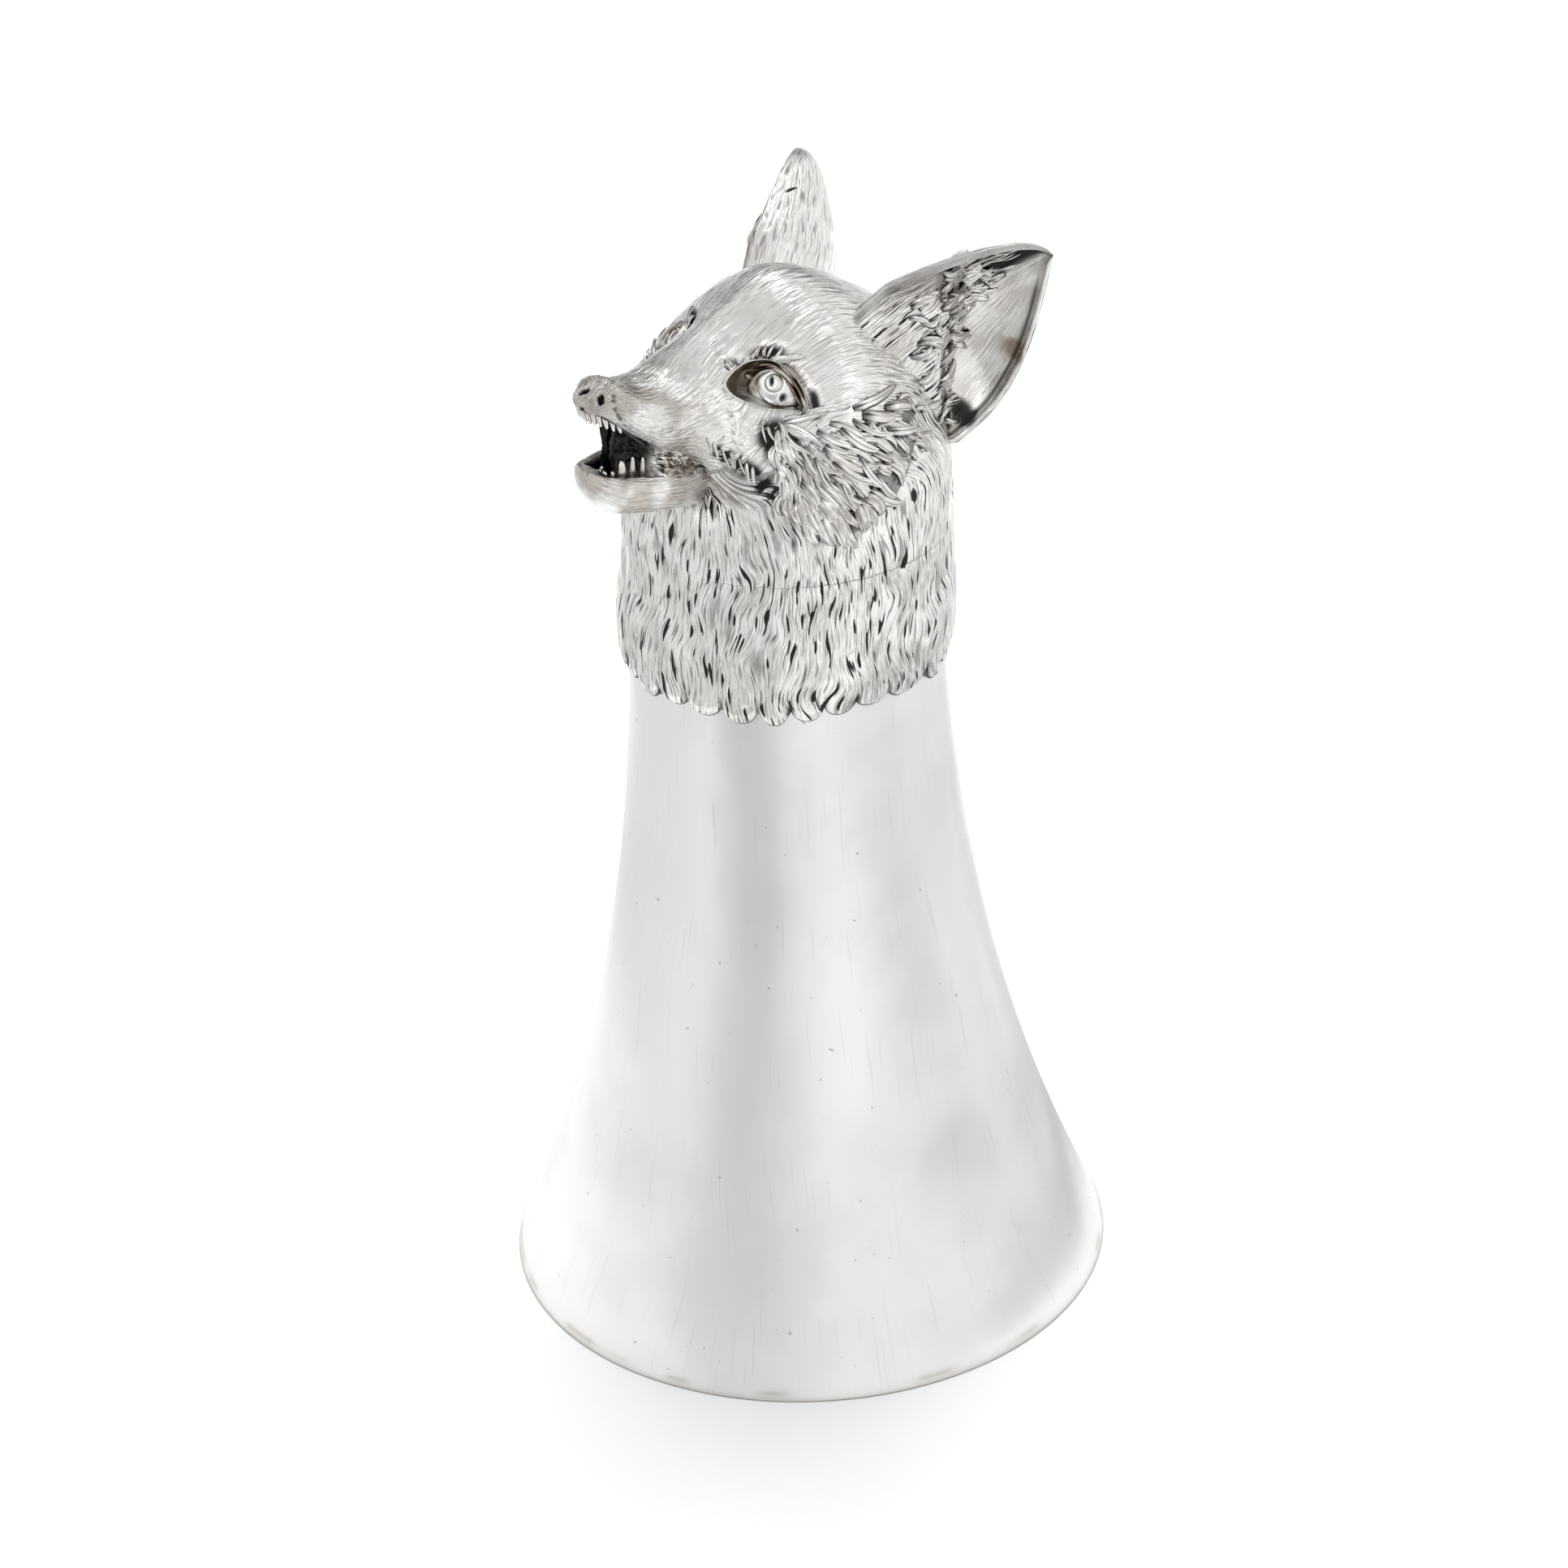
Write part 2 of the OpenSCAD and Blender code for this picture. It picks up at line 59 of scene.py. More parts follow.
class Slot(Enum):
    """Material slots of the record."""

    SPUN = "spun_silver"
    CAST = "cast_silver"
    DARK = "oxidised_silver"


class Side(Enum):
    """The two sides of the fox."""

    LEFT = 1
    RIGHT = -1

    @property
    def word(self) -> str:
        """The side's name in small letters."""
        return self.name.lower()

    def place(self, points: Array) -> Array:
        """Points or vectors of the left side, carried to this side."""
        return points * np.array([self.value, 1, 1])


class Row(Enum):
    """The two rows of teeth."""

    UPPER = "upper"
    LOWER = "lower"


def unit(v: Array) -> Array:
    """Vectors along the last axis at length one."""
    return v / np.maximum(np.linalg.norm(v, axis=-1, keepdims=True), 1e-9)


def ease(lo: float, hi: float, x: Array) -> Array:
    """Smooth step from 0 at lo to 1 at hi: 3 s^2 - 2 s^3 of the share s between them."""
    s = np.clip((x - lo) / (hi - lo), 0.0, 1.0)
    return s * s * (3.0 - 2.0 * s)


def bell(x: Array) -> Array:
    """Bell curve: 1 at zero, falling with the square of the distance."""
    return np.exp(-x**2)


def lengths(path: Array) -> Array:
    """Distance along a path up to each of its points."""
    return np.concatenate([[0], np.cumsum(np.linalg.norm(np.diff(path, axis=0), axis=1))])


def round_angles(start: float, count: int) -> Array:
    """Even angles once round from a start."""
    return np.linspace(start, start + TURN, count, endpoint=False)


def share(i: Array, j: Any, seed: int) -> Array:
    """A repeatable share of 0 to 1 for each pair of whole numbers.

    Args:
        i: First whole numbers.
        j: Second whole numbers.
        seed: Number that picks the series.

    Returns:
        Array of shares: the pair's bits mixed by two multiplications, over 2^32.
    """
    mask = np.uint64(0xFFFFFFFF)
    n = np.asarray(i, np.int64) * 374761393 + np.asarray(j, np.int64) * 668265263 + seed * 974634777
    n = n.astype(np.uint64) & mask
    n = ((n ^ (n >> np.uint64(13))) * np.uint64(1274126177)) & mask
    n = ((n ^ (n >> np.uint64(15))) * np.uint64(2246822519)) & mask
    return (n ^ (n >> np.uint64(16))) / 4294967296.0


def drift(x: Array, y: Array, seed: int, lap: int = 1 << 30) -> Array:
    """Smooth wandering between 0 and 1: lattice shares blended with eased weights.

    Args:
        x: First coordinate, one lattice step to the unit.
        y: Second coordinate.
        seed: Number that picks the lattice.
        lap: Lattice steps after which the first coordinate repeats.

    Returns:
        Array of the inputs' shape.
    """
    i, j = np.floor(x), np.floor(y)
    fx, fy = ease(0.0, 1.0, x - i), ease(0.0, 1.0, y - j)
    i, k = i % lap, (i + 1) % lap
    low = share(i, j, seed) * (1 - fx) + share(k, j, seed) * fx
    high = share(i, j + 1, seed) * (1 - fx) + share(k, j + 1, seed) * fx
    return low * (1 - fy) + high * fy


def smoothed_ring(h: Array, reach: int) -> Array:
    """Mean of each value of a ring over a number of neighbours each way."""
    total = np.cumsum(np.pad(np.pad(h, reach, mode="wrap"), (1, 0)))
    return (total[2 * reach + 1:] - total[:-2 * reach - 1]) / (2 * reach + 1)


def curve(rows: Array, u: Array) -> Array:
    """Smooth curve through rows of numbers (Catmull-Rom cubic between neighbours).

    Args:
        rows: Numbers to pass through, one row each.
        u: Places, 0 at the first row and one less than their count at the last.

    Returns:
        Array of one row for each u.
    """
    last = len(rows) - 1
    i = np.clip(np.floor(u).astype(int), 0, last - 1)
    t = (u - i)[:, None]
    a, b = rows[np.maximum(i - 1, 0)], rows[i]
    c, d = rows[i + 1], rows[np.minimum(i + 2, last)]
    return 0.5 * (2 * b + (c - a) * t + (2 * a - 5 * b + 4 * c - d) * t**2
                  + (3 * b - a - 3 * c + d) * t**3)


def grid_normals(points: Array) -> Array:
    """Unit normals of a grid whose columns join round: columns' way crossed with rows' way.

    Args:
        points: Grid of points.

    Returns:
        Grid of unit vectors.
    """
    along = np.gradient(points, axis=0)
    across = np.roll(points, -1, 1) - np.roll(points, 1, 1)
    return unit(np.cross(across, along))


def levelled(normals: Array, amount: Array) -> Array:
    """Normals turned towards the horizontal by an amount of 0 to 1."""
    return unit(normals * (1 - amount) + unit(normals * [1, 1, 0]) * amount)


def left_half(p: Array) -> Array:
    """Points carried to the fox's left side."""
    return np.stack([np.abs(p[..., 0]), p[..., 1], p[..., 2]], -1)


def silver_marks(points: Array, strokes: Any, hollow: Any, warm: Any) -> dict[str, Array]:
    """What a casting's mesh carries for its finish, kept to 0 to 1.

    Args:
        points: Grid of points.
        strokes: How much is stroked.
        hollow: How dark: oxide in the grooves, plus painted shade where a piece puts it.
        warm: How tarnished.

    Returns:
        The three marks by name, one value a point.
    """
    flat = np.zeros(points.shape[:2])
    marks = {"strokes": strokes, "hollow": hollow, "warm": warm}
    return {name: np.clip(value, 0, 1) + flat for name, value in marks.items()}


class Skin(NamedTuple):
    """A sheet as mesh arrays.

    A face has four corners; a triangle repeats one of them. Coords are pattern coordinates a corner,
    marks are numbers a vertex, and smooth says how each face is shaded.
    """

    verts: Array
    quads: Array
    coords: Array
    marks: dict[str, Array]
    smooth: Array


@dataclass
class Sheet:
    """A grid of points in millimetres that becomes a closed skin.

    Rows run along the first parameter and columns along the second. Columns always join round. Rows
    either join round as well, or end in points at both ends. Faces are turned to point outwards by
    the sign of the enclosed volume. Where the sheet is crisp, the faces before its first row are
    shaded flat.
    """

    points: Array
    flow: Array
    marks: dict[str, Array] = field(default_factory=dict)
    loop: bool = False
    crisp: bool = False

    def skin(self) -> Skin:
        """This sheet as mesh arrays.

        Returns:
            The closed skin.
        """
        rows, cols = self.points.shape[:2]
        i = np.arange(rows if self.loop else rows - 1)[:, None]
        j = np.arange(cols)[None]
        k, m, n = (i + 1) % rows, (j + 1) % cols, cols + 1
        quads = np.stack([i * cols + j, i * cols + m, k * cols + m, k * cols + j], -1).reshape(-1, 4)
        cells = np.stack([i * n + j, i * n + j + 1, k * n + j + 1, k * n + j], -1).reshape(-1, 4)
        wide = self._wide_flow()
        marks = {name: value.reshape(-1) for name, value in self.marks.items()}
        made = Skin(self.points.reshape(-1, 3), quads, wide.reshape(-1, 2)[cells], marks, np.ones(0, bool))
        if not self.loop:
            made = self._with_ends(made, wide)
        smooth = np.ones(len(made.quads), bool)
        if self.crisp:
            foot = (rows - 1) * cols
            smooth[foot:foot + cols] = False
        a, b, c, d = (made.verts[made.quads[:, q]] - made.verts.mean(0) for q in range(4))
        if np.sum(np.cross(a, b) * c + np.cross(a, c) * d) < 0:
            made = made._replace(quads=made.quads[:, ::-1], coords=made.coords[:, ::-1])
        return made._replace(smooth=smooth)

    def _with_ends(self, made: Skin, wide: Array) -> Skin:
        """Close both ends with fans of triangles to their middles.

        Args:
            made: The open skin.
            wide: Pattern coordinates with the extra column.

        Returns:
            The closed skin.
        """
        rows, cols = self.points.shape[:2]
        c = np.arange(cols)
        d, base, first = (c + 1) % cols, (rows - 1) * cols, rows * cols
        near = np.stack([np.full(cols, first), d, c, c], -1)
        far = np.stack([np.full(cols, first + 1), base + c, base + d, base + d], -1)
        lo, hi = wide[0], wide[-1]
        near_flow = np.stack([(lo[:-1] + lo[1:]) / 2, lo[1:], lo[:-1], lo[:-1]], 1)
        far_flow = np.stack([(hi[:-1] + hi[1:]) / 2, hi[:-1], hi[1:], hi[1:]], 1)
        return made._replace(
            verts=np.concatenate([made.verts, [self.points[0].mean(0), self.points[-1].mean(0)]]),
            quads=np.concatenate([made.quads, near, far]),
            coords=np.concatenate([made.coords, near_flow, far_flow]),
            marks={name: np.concatenate([v, [v[:cols].mean(), v[-cols:].mean()]])
                   for name, v in made.marks.items()})

    def _wide_flow(self) -> Array:
        """Pattern coordinates with one more column: a step past the last, along the first.

        Returns:
            Grid of pairs.
        """
        last, before = self.flow[:, -1:, 0], self.flow[:, -2:-1, 0]
        past = np.stack([last + (last - before), self.flow[:, :1, 1]], -1)
        return np.concatenate([self.flow, past], axis=1)


def add_object(name: str, data: Any) -> bpy.types.Object:
    """A new object in the scene, for a mesh, a camera or a lamp.

    Args:
        name: The object's name.
        data: What it shows.

    Returns:
        The object.
    """
    made = bpy.data.objects.new(name, data)
    bpy.context.scene.collection.objects.link(made)
    return made


def build_piece(name: str, sheets: list[Sheet], material: bpy.types.Material,
                nodes: tuple[str, ...] = ()) -> bpy.types.Object:
    """One object from closed skins, riding on the cup and standing for its solids.

    Args:
        name: The piece's name.
        sheets: Its skins.
        material: Its finish.
        nodes: Solids that it stands for.

    Returns:
        The new object.
    """
    skins = [sheet.skin() for sheet in sheets]
    starts = np.cumsum([0] + [len(skin.verts) for skin in skins])
    vertex = np.concatenate([skin.verts for skin in skins]) * MM
    corner = np.concatenate([skin.quads + start for skin, start in zip(skins, starts)])
    coord = np.concatenate([skin.coords for skin in skins])
    keep = np.ones(corner.shape, bool)
    keep[:, 3] = corner[:, 3] != corner[:, 2]
    keep[:, 1] = corner[:, 1] != corner[:, 0]
    sizes = keep.sum(1)
    mesh = bpy.data.meshes.new(name)
    mesh.vertices.add(len(vertex))
    mesh.vertices.foreach_set("co", vertex.astype(np.float32).ravel())
    mesh.loops.add(int(sizes.sum()))
    mesh.loops.foreach_set("vertex_index", corner[keep].astype(np.int32))
    mesh.polygons.add(len(sizes))
    mesh.polygons.foreach_set("loop_start", (np.cumsum(sizes) - sizes).astype(np.int32))
    mesh.polygons.foreach_set("use_smooth", np.concatenate([skin.smooth for skin in skins]))
    mesh.update(calc_edges=True)
    mesh.uv_layers.new(name="flow").data.foreach_set("uv", coord[keep].astype(np.float32).ravel())
    for key in sheets[0].marks:
        values = np.concatenate([skin.marks[key] for skin in skins]).astype(np.float32)
        mesh.attributes.new(key, "FLOAT", "POINT").data.foreach_set("value", values)
    mesh.validate()
    mesh.materials.append(material)
    piece = add_object(name, mesh)
    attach(piece, "root")
    if nodes:
        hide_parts(*nodes)
    return piece


class Signal:
    """A shader socket that adds Math nodes when it is used in arithmetic."""

    def __init__(self, bench: "Bench", socket: bpy.types.NodeSocket | None) -> None:
        """Wrap a socket of a bench's tree, or nothing for a node without outputs."""
        self.bench = bench
        self.socket = socket

    def _math(self, operation: str, first: Any, second: Any) -> "Signal":
        """One Math node on two values."""
        return self.bench.node("ShaderNodeMath", {"operation": operation}, {0: first, 1: second})

    def __add__(self, other: Any) -> "Signal":
        """Sum."""
        return self._math("ADD", self, other)

    __radd__ = __add__

    def __sub__(self, other: Any) -> "Signal":
        """Difference."""
        return self._math("SUBTRACT", self, other)

    def __rsub__(self, other: Any) -> "Signal":
        """Difference from a number."""
        return self._math("SUBTRACT", other, self)

    def __mul__(self, other: Any) -> "Signal":
        """Product."""
        return self._math("MULTIPLY", self, other)

    __rmul__ = __mul__

    def __or__(self, other: Any) -> "Signal":
        """The larger of two values."""
        return self._math("MAXIMUM", self, other)

    def step(self, lo: float, hi: float) -> "Signal":
        """Smooth step from 0 at lo to 1 at hi, or falling where hi is the lower.

        Args:
            lo: Value that gives 0.
            hi: Value that gives 1.

        Returns:
            The step as a signal.
        """
        down = hi < lo
        ends = {"From Min": min(lo, hi), "From Max": max(lo, hi), "To Min": float(down),
                "To Max": float(not down)}
        return self.bench.node("ShaderNodeMapRange", {"interpolation_type": "SMOOTHSTEP"},
                               {"Value": self, **ends})


class Bench:
    """The node tree of a material or a world, with one method that adds any node."""

    def __init__(self, owner: bpy.types.Material | bpy.types.World) -> None:
        """Empty the owner's tree.

        Args:
            owner: Material or world that gets the nodes.
        """
        owner.use_nodes = True
        self.owner = owner
        self.tree = owner.node_tree
        self.tree.nodes.clear()

    @classmethod
    def material(cls, name: str) -> "Bench":
        """A bench for a new material."""
        return cls(bpy.data.materials.new(name))

    def node(self, kind: str, settings: dict[str, Any], sockets: dict[Any, Any],
             output: Any = 0) -> Signal:
        """Add a node.

        Args:
            kind: Node type.
            settings: Properties, set before the sockets.
            sockets: Values or signals by input name or number.
            output: Output to return, by name or number.

        Returns:
            That output as a signal.
        """
        made = self.tree.nodes.new(kind)
        for key, value in settings.items():
            setattr(made, key, value)
        for key, value in sockets.items():
            if isinstance(value, Signal):
                self.tree.links.new(value.socket, made.inputs[key])
            else:
                made.inputs[key].default_value = value
        return Signal(self, made.outputs[output] if made.outputs else None)

    def mark(self, name: str) -> Signal:
        """A number that the mesh carries at its points."""
        return self.node("ShaderNodeAttribute", {"attribute_name": name}, {}, "Fac")

    def flow(self, across: float, along: float, shift: Signal | None = None) -> Signal:
        """The piece's own pattern coordinates, divided by a width and a length in millimetres.

        Args:
            across: Millimetres to the unit across the hair or round the piece.
            along: Millimetres to the unit along it.
            shift: Sideways wander to add, in units.

        Returns:
            A vector signal.
        """
        coords = self.node("ShaderNodeUVMap", {"uv_map": "flow"}, {})
        scaled = self.node("ShaderNodeVectorMath", {"operation": "MULTIPLY"},
                           {0: coords, 1: (1 / across, 1 / along, 0.0)})
        if shift is None:
            return scaled
        side = self.node("ShaderNodeCombineXYZ", {}, {"X": shift})
        return self.node("ShaderNodeVectorMath", {"operation": "ADD"}, {0: scaled, 1: side})

    def noise(self, vector: Signal, detail: float = 1.0) -> Signal:
        """Noise of 0 to 1 on a plane vector, one cell to the unit."""
        return self.node("ShaderNodeTexNoise", {"noise_dimensions": "2D"},
                         {"Vector": vector, "Scale": 1.0, "Detail": detail})

    def grain(self, scale: float, detail: float = 2.0) -> Signal:
        """Noise of 0 to 1 in the piece's own space, with a number of cells to the metre."""
        place = self.node("ShaderNodeTexCoord", {}, {}, "Object")
        return self.node("ShaderNodeTexNoise", {}, {"Vector": place, "Scale": scale, "Detail": detail})

    def mix(self, amount: Any, first: Any, second: Any) -> Signal:
        """Mix two colours by an amount of 0 to 1."""
        full = [(*c, 1.0) if isinstance(c, tuple) else c for c in (first, second)]
        return self.node("ShaderNodeMix", {"data_type": "RGBA"}, {0: amount, 6: full[0], 7: full[1]}, 2)

    def surface(self, shader: Signal) -> Any:
        """Send a shader to the output.

        Args:
            shader: The finished shader.

        Returns:
            The material or world.
        """
        kind = "World" if isinstance(self.owner, bpy.types.World) else "Material"
        self.node(f"ShaderNodeOutput{kind}", {}, {"Surface": shader})
        return self.owner

    def metal(self, colour: Signal, roughness: Signal, height: Signal, depth: float) -> bpy.types.Material:
        """Close the tree with a metal.

        Args:
            colour: Base colour.
            roughness: Roughness.
            height: Height of the bump.
            depth: Bump depth in millimetres.

        Returns:
            The material.
        """
        bump = self.node("ShaderNodeBump", {}, {"Strength": 1.0, "Distance": depth * MM, "Height": height})
        return self.surface(self.node("ShaderNodeBsdfPrincipled", {}, {
            "Base Color": colour, "Roughness": roughness, "Metallic": 1.0, "Normal": bump}))


@dataclass(frozen=True)
class CastSilver:
    """Chased silver casting: bright on the ridges, oxidised in the grooves, brown in the corners."""

    name: str
    stroke_w: float = 0.24
    stroke_l: float = 3.6
    wave: float = 3.0
    depth: float = 0.30
    dark: float = 0.72
    tone: Colour = (0.90, 0.89, 0.87)
    film: Colour = (0.66, 0.63, 0.58)
    groove: Colour = (0.035, 0.032, 0.030)
    tarnish: Colour = (0.30, 0.235, 0.17)
    roughness: float = 0.19

    def material(self) -> bpy.types.Material:
        """The finish as a new material.

        Strokes are noise stretched along the hair, its valleys cut as tapered grooves. The marks
        that the mesh carries say how much is stroked, dark with oxide and painted shade, or tarnished.

        Returns:
            The material.
        """
        # Bounds of steps are levels of noise or marks; a grain's first number is cells to the metre.
        b = Bench.material(self.name)
        wander = b.noise(b.flow(3.1, 5.3)) * self.wave
        fine = b.noise(b.flow(self.stroke_w, self.stroke_l, wander))
        broad = b.noise(b.flow(2.4 * self.stroke_w, 1.1 * self.stroke_l, wander * 0.42))
        strokes, hollow, warm = b.mark("strokes"), b.mark("hollow"), b.mark("warm")
        cut = fine.step(0.44, 0.30) * strokes
        deep = (broad - 0.17 * strokes.step(0.82, 1.0)).step(0.37, 0.29) * strokes.step(0.45, 0.80)
        dark = (cut * self.dark | deep * 1.1 | hollow).step(0.0, 1.0)
        stain = b.grain(260.0, 3.0)
        colour = b.mix((warm * 1.3 * stain.step(0.30, 0.62)).step(0.0, 1.0), self.tone, self.tarnish)
        colour = b.mix(stain.step(0.50, 0.78) * 0.30, colour, self.film)
        colour = b.mix(dark, colour, self.groove)
        rough = self.roughness + 0.22 * dark + 0.10 * b.grain(900.0).step(0.45, 0.75)
        height = (fine * 0.6 + broad * 0.9) * strokes + b.grain(2600.0) * 0.05
        return b.metal(colour, rough, height, self.depth)


@dataclass(frozen=True)
class SpunSilver:
    """Spun and polished silver with a soft uneven sheen, fine scratches and small spots."""

    name: str = "spun_silver_worn"
    tone: Colour = (0.88, 0.875, 0.865)
    dull: Colour = (0.70, 0.695, 0.68)
    spot: Colour = (0.42, 0.38, 0.33)
    roughness: float = 0.25
    depth: float = 0.012

    def material(self) -> bpy.types.Material:
        """The finish as a new material: clouds, slight dents, scratches and spots from noise, plus the mesh's
        dirt and painted shade.

        Returns:
            The material.
        """
        b = Bench.material(self.name)
        cloud, veil = b.grain(34.0, 4.0), b.grain(120.0, 3.0)
        lean = b.noise(b.flow(24.0, 30.0)) * 14.0
        scratch = b.noise(b.flow(0.22, 16.0, lean), 0.0).step(0.78, 0.86)
        speck = b.grain(1050.0, 1.0).step(0.76, 0.82)
        clouded = cloud.step(0.42, 0.72) * 0.48 + veil.step(0.45, 0.75) * 0.12
        colour = b.mix(clouded, self.tone, self.dull)
        colour = b.mix(scratch * 0.5, colour, self.dull)
        # The hollow mark adds dirt spots and painted shade at the beaker's foot.
        colour = b.mix((speck * 0.7 | b.mark("hollow")).step(0.0, 1.0), colour, self.spot)
        rough = self.roughness + 0.16 * cloud + 0.08 * veil + 0.15 * speck
        height = scratch * 0.5 + b.grain(5200.0) * 0.10
        height = height + b.grain(40.0, 1.0) * 135.0 + b.grain(95.0, 1.0) * 24.0
        height = height + b.noise(b.flow(7.0, 55.0, lean * 0.1)) * 16.0
        return b.metal(colour, rough, height, self.depth)


@dataclass(frozen=True)
class WavyHair:
    """Wavy hair with soft locks, as a relief on the neck.

    The hair's run is bent sideways by two sizes of wandering. Locks are wandering stretched along the
    hair, and its lowest parts are dark commas. Tips step down in uneven tiers, as a saw tooth.
    """

    girth: float = 20.2
    lock_w: float = 2.7
    lock_l: float = 8.5
    tier: float = 6.4
    lift: float = 0.42
    bend: float = 2.7
    ripple: float = 0.9
    joint: float = 30.0
    seed: int = 11

    def relief(self, around: Array, along: Array) -> tuple[Array, Array, Array]:
        """Height of the hair at places on a surface.

        Args:
            around: Angle round the neck.
            along: Millimetres down the hair, from the joint of head and collar.

        Returns:
            Height in millimetres, how deep in a crease, and pattern coordinates that follow the hair.
        """
        lap, y = TURN * self.girth, along + self.joint
        x = self.girth * (around + np.pi / 2)

        def wander(place: Array, across: float, length: float, series: int) -> Array:
            """Wandering that closes round the neck."""
            count = round(lap / across)
            return drift(place / lap * count, y / length, self.seed + series, count)

        u = x + self.bend * (wander(x, 6.5, 5.0, 0) - 0.5) + self.ripple * (wander(x, 2.9, 3.1, 1) - 0.5)
        big = wander(u, self.lock_w, self.lock_l, 2)
        small = wander(u, 0.36 * self.lock_w, 0.42 * self.lock_l, 3)
        saw = (y / self.tier + 1.5 * wander(u, 0.8 * self.lock_w, 30.0, 4)) % 1.0
        tip = saw**1.5 * (1 - ease(0.90, 1.0, saw))
        high = self.lift * (0.75 * big + 0.60 * small + 0.15 * tip)
        bold = 0.25 + 0.75 * ease(0.40, 0.66, wander(x, 4.4, 5.0, 5))
        return high, 0.55 * ease(0.34, 0.12, small) * bold, np.stack([u, y], -1)


@dataclass(frozen=True)
class Tufts:
    """Raised tufts of hair, each a tapered tube carried along a bowed path."""

    width: float
    lift: float
    curl: float
    strands: int
    seed: int
    stray: float = 0.7
    rows: int = 14
    sides: int = 18

    def sheets(self, root: Array, tip: Array, out: Array) -> list[Sheet]:
        """Skins of the tufts.

        The path runs from root to tip and bows outwards as a half sine. The section is an ellipse
        whose width swells and then tapers, with strand grooves as a cosine round it.

        Args:
            root: Root points, one row each.
            tip: Tip points.
            out: Unit vectors away from the surface.

        Returns:
            One sheet a tuft.
        """
        number = np.arange(len(root))
        h = [share(number, 0, self.seed + k)[:, None, None] for k in range(4)]
        s = np.linspace(0, 1, self.rows)[None, :, None]
        b = round_angles(0, self.sides)[None, None]
        run = tip - root
        side = unit(np.cross(out, run))
        turn = self.stray * (share(number, 0, self.seed + 5) - 0.5)[:, None]
        run = (run + side * turn * np.linalg.norm(run, axis=-1, keepdims=True)) * (0.8 + 0.45 * h[2][:, :, 0])
        side = unit(np.cross(out, run))
        bow = self.lift * (0.7 + 0.6 * h[0]) * np.sin(np.pi * (0.12 + 0.80 * s)) - 0.3 * (1 - s) ** 2
        swerve = self.curl * (h[1] - 0.5) * np.sin(np.pi * s) + 0.5 * self.curl * (h[2] - 0.5) * s * s
        size = self.width * (0.7 + 0.6 * h[3])
        half = 0.5 * size * (1.35 * (0.12 + s) ** 0.35 * (1 - s + 0.01) ** 0.45)
        wave = np.cos(self.strands * b + 6.3 * h[1])
        groove = 1.0 + 0.13 * wave * ease(0.05, 0.4, s)
        x = half * np.cos(b) * groove + swerve
        z = 0.62 * half * np.sin(b) * groove + bow
        points = (root[:, None, None] + run[:, None, None] * s[..., None]
                  + side[:, None, None] * x[..., None] + out[:, None, None] * z[..., None])
        # Painted shade: darker on the side towards the skin and at the root; the strand grooves' dark is
        # oxide.
        hollow = np.clip(0.42 - 0.9 * np.sin(b), 0, 1) + 0.62 * ease(0.45, 1.0, -wave)
        hollow = hollow + 0.7 * (1 - ease(0.0, 0.3, s))
        length = np.linalg.norm(run, axis=-1)[:, None, None]
        flow = np.stack([half * np.cos(b) + 7.0 * number[:, None, None], s * length + 0 * b], -1)
        return [Sheet(points[k], flow[k], silver_marks(points[k], 0.6, hollow[k], 0.25)) for k in number]


@dataclass
class Beaker:
    """The spun beaker that stands on its rim, and the floor in its narrow end."""

    silver: bpy.types.Material
    rim_r: float = 38.0
    waist_r: float = 19.1
    height: float = 92.0
    seat: float = 5.6
    wall: float = 1.0
    taper: float = 4.6
    flare: float = 2.33
    lip: float = 0.34
    rows: int = 160
    columns: int = 288

    def radius(self, z: Array) -> Array:
        """Outside radius: waist, plus a straight taper, plus a power of the drop to the rim."""
        t = np.clip(1 - z / (self.height - self.seat), 0, None)
        return self.waist_r + self.taper * t + (self.rim_r - self.waist_r - self.taper) * t**self.flare

    def build(self) -> bpy.types.Object:
        """A profile turned round Z: up the outside, over the top, down the inside, round the rim.

        Returns:
            The beaker's object, with dirt spots a millimetre above the rim and painted shade at its foot.
        """
        up = self.height * np.linspace(0, 1, self.rows) ** 1.15
        slope = np.gradient(self.radius(up), up)
        inner = self.radius(up) - self.wall * np.sqrt(1 + slope**2)
        half = 0.5 * (self.radius(up[:1]) - inner[:1])
        turn = np.linspace(0, np.pi, 12)[1:-1]
        lip_r = self.radius(up[:1]) - half + half * np.cos(np.pi - turn)
        lip_z = self.lip * half * (1 - np.sin(turn))
        up[0] = self.lip * half[0]
        r = np.concatenate([self.radius(up), inner[::-1], lip_r])[:, None]
        z = np.concatenate([up, up[::-1], lip_z])[:, None]
        angle = round_angles(0, self.columns)
        points = np.stack([r * np.cos(angle), r * np.sin(angle), z + 0 * angle], -1)
        flow = np.stack([self.waist_r * angle + 0 * r, z + 0 * angle], -1)
        # Dirt spots along a line a millimetre up, and painted shade darkening the foot where the rim meets
        # the floor.
        dirt_and_foot_shade = np.exp(-np.abs(z - 1.0) / 0.35) * 0.5 * ease(0.35, 0.7, drift(angle * 9, 0 * angle, 5))
        dirt_and_foot_shade = dirt_and_foot_shade + 0.8 * np.exp(-z / 0.40)
        sheet = Sheet(points, flow, {"hollow": np.clip(dirt_and_foot_shade, 0, 1)}, loop=True)
        return build_piece("beaker_spun", [sheet], self.silver, ("beaker",))

    def dress_floor(self) -> None:
        """Give the floor's solid, which stays as it is, the beaker's finish."""
        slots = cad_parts["beaker_floor"].data.materials
        slots.clear()
        slots.append(self.silver)


class Features(NamedTuple):
    """Grids over the head's skin.

    Shares of 0 to 1 for the mouth's roof, the hairy neck, the nostrils, their wings, the nose's
    cleft, the sunk eye sockets and the dark round them; then the distance and direction from the
    middle of the cheek's fan of hair.
    """

    roof: Array
    neck: Array
    nostril: Array
    wing: Array
    cleft: Array
    sink: Array
    shade: Array
    radius: Array
    sweep: Array


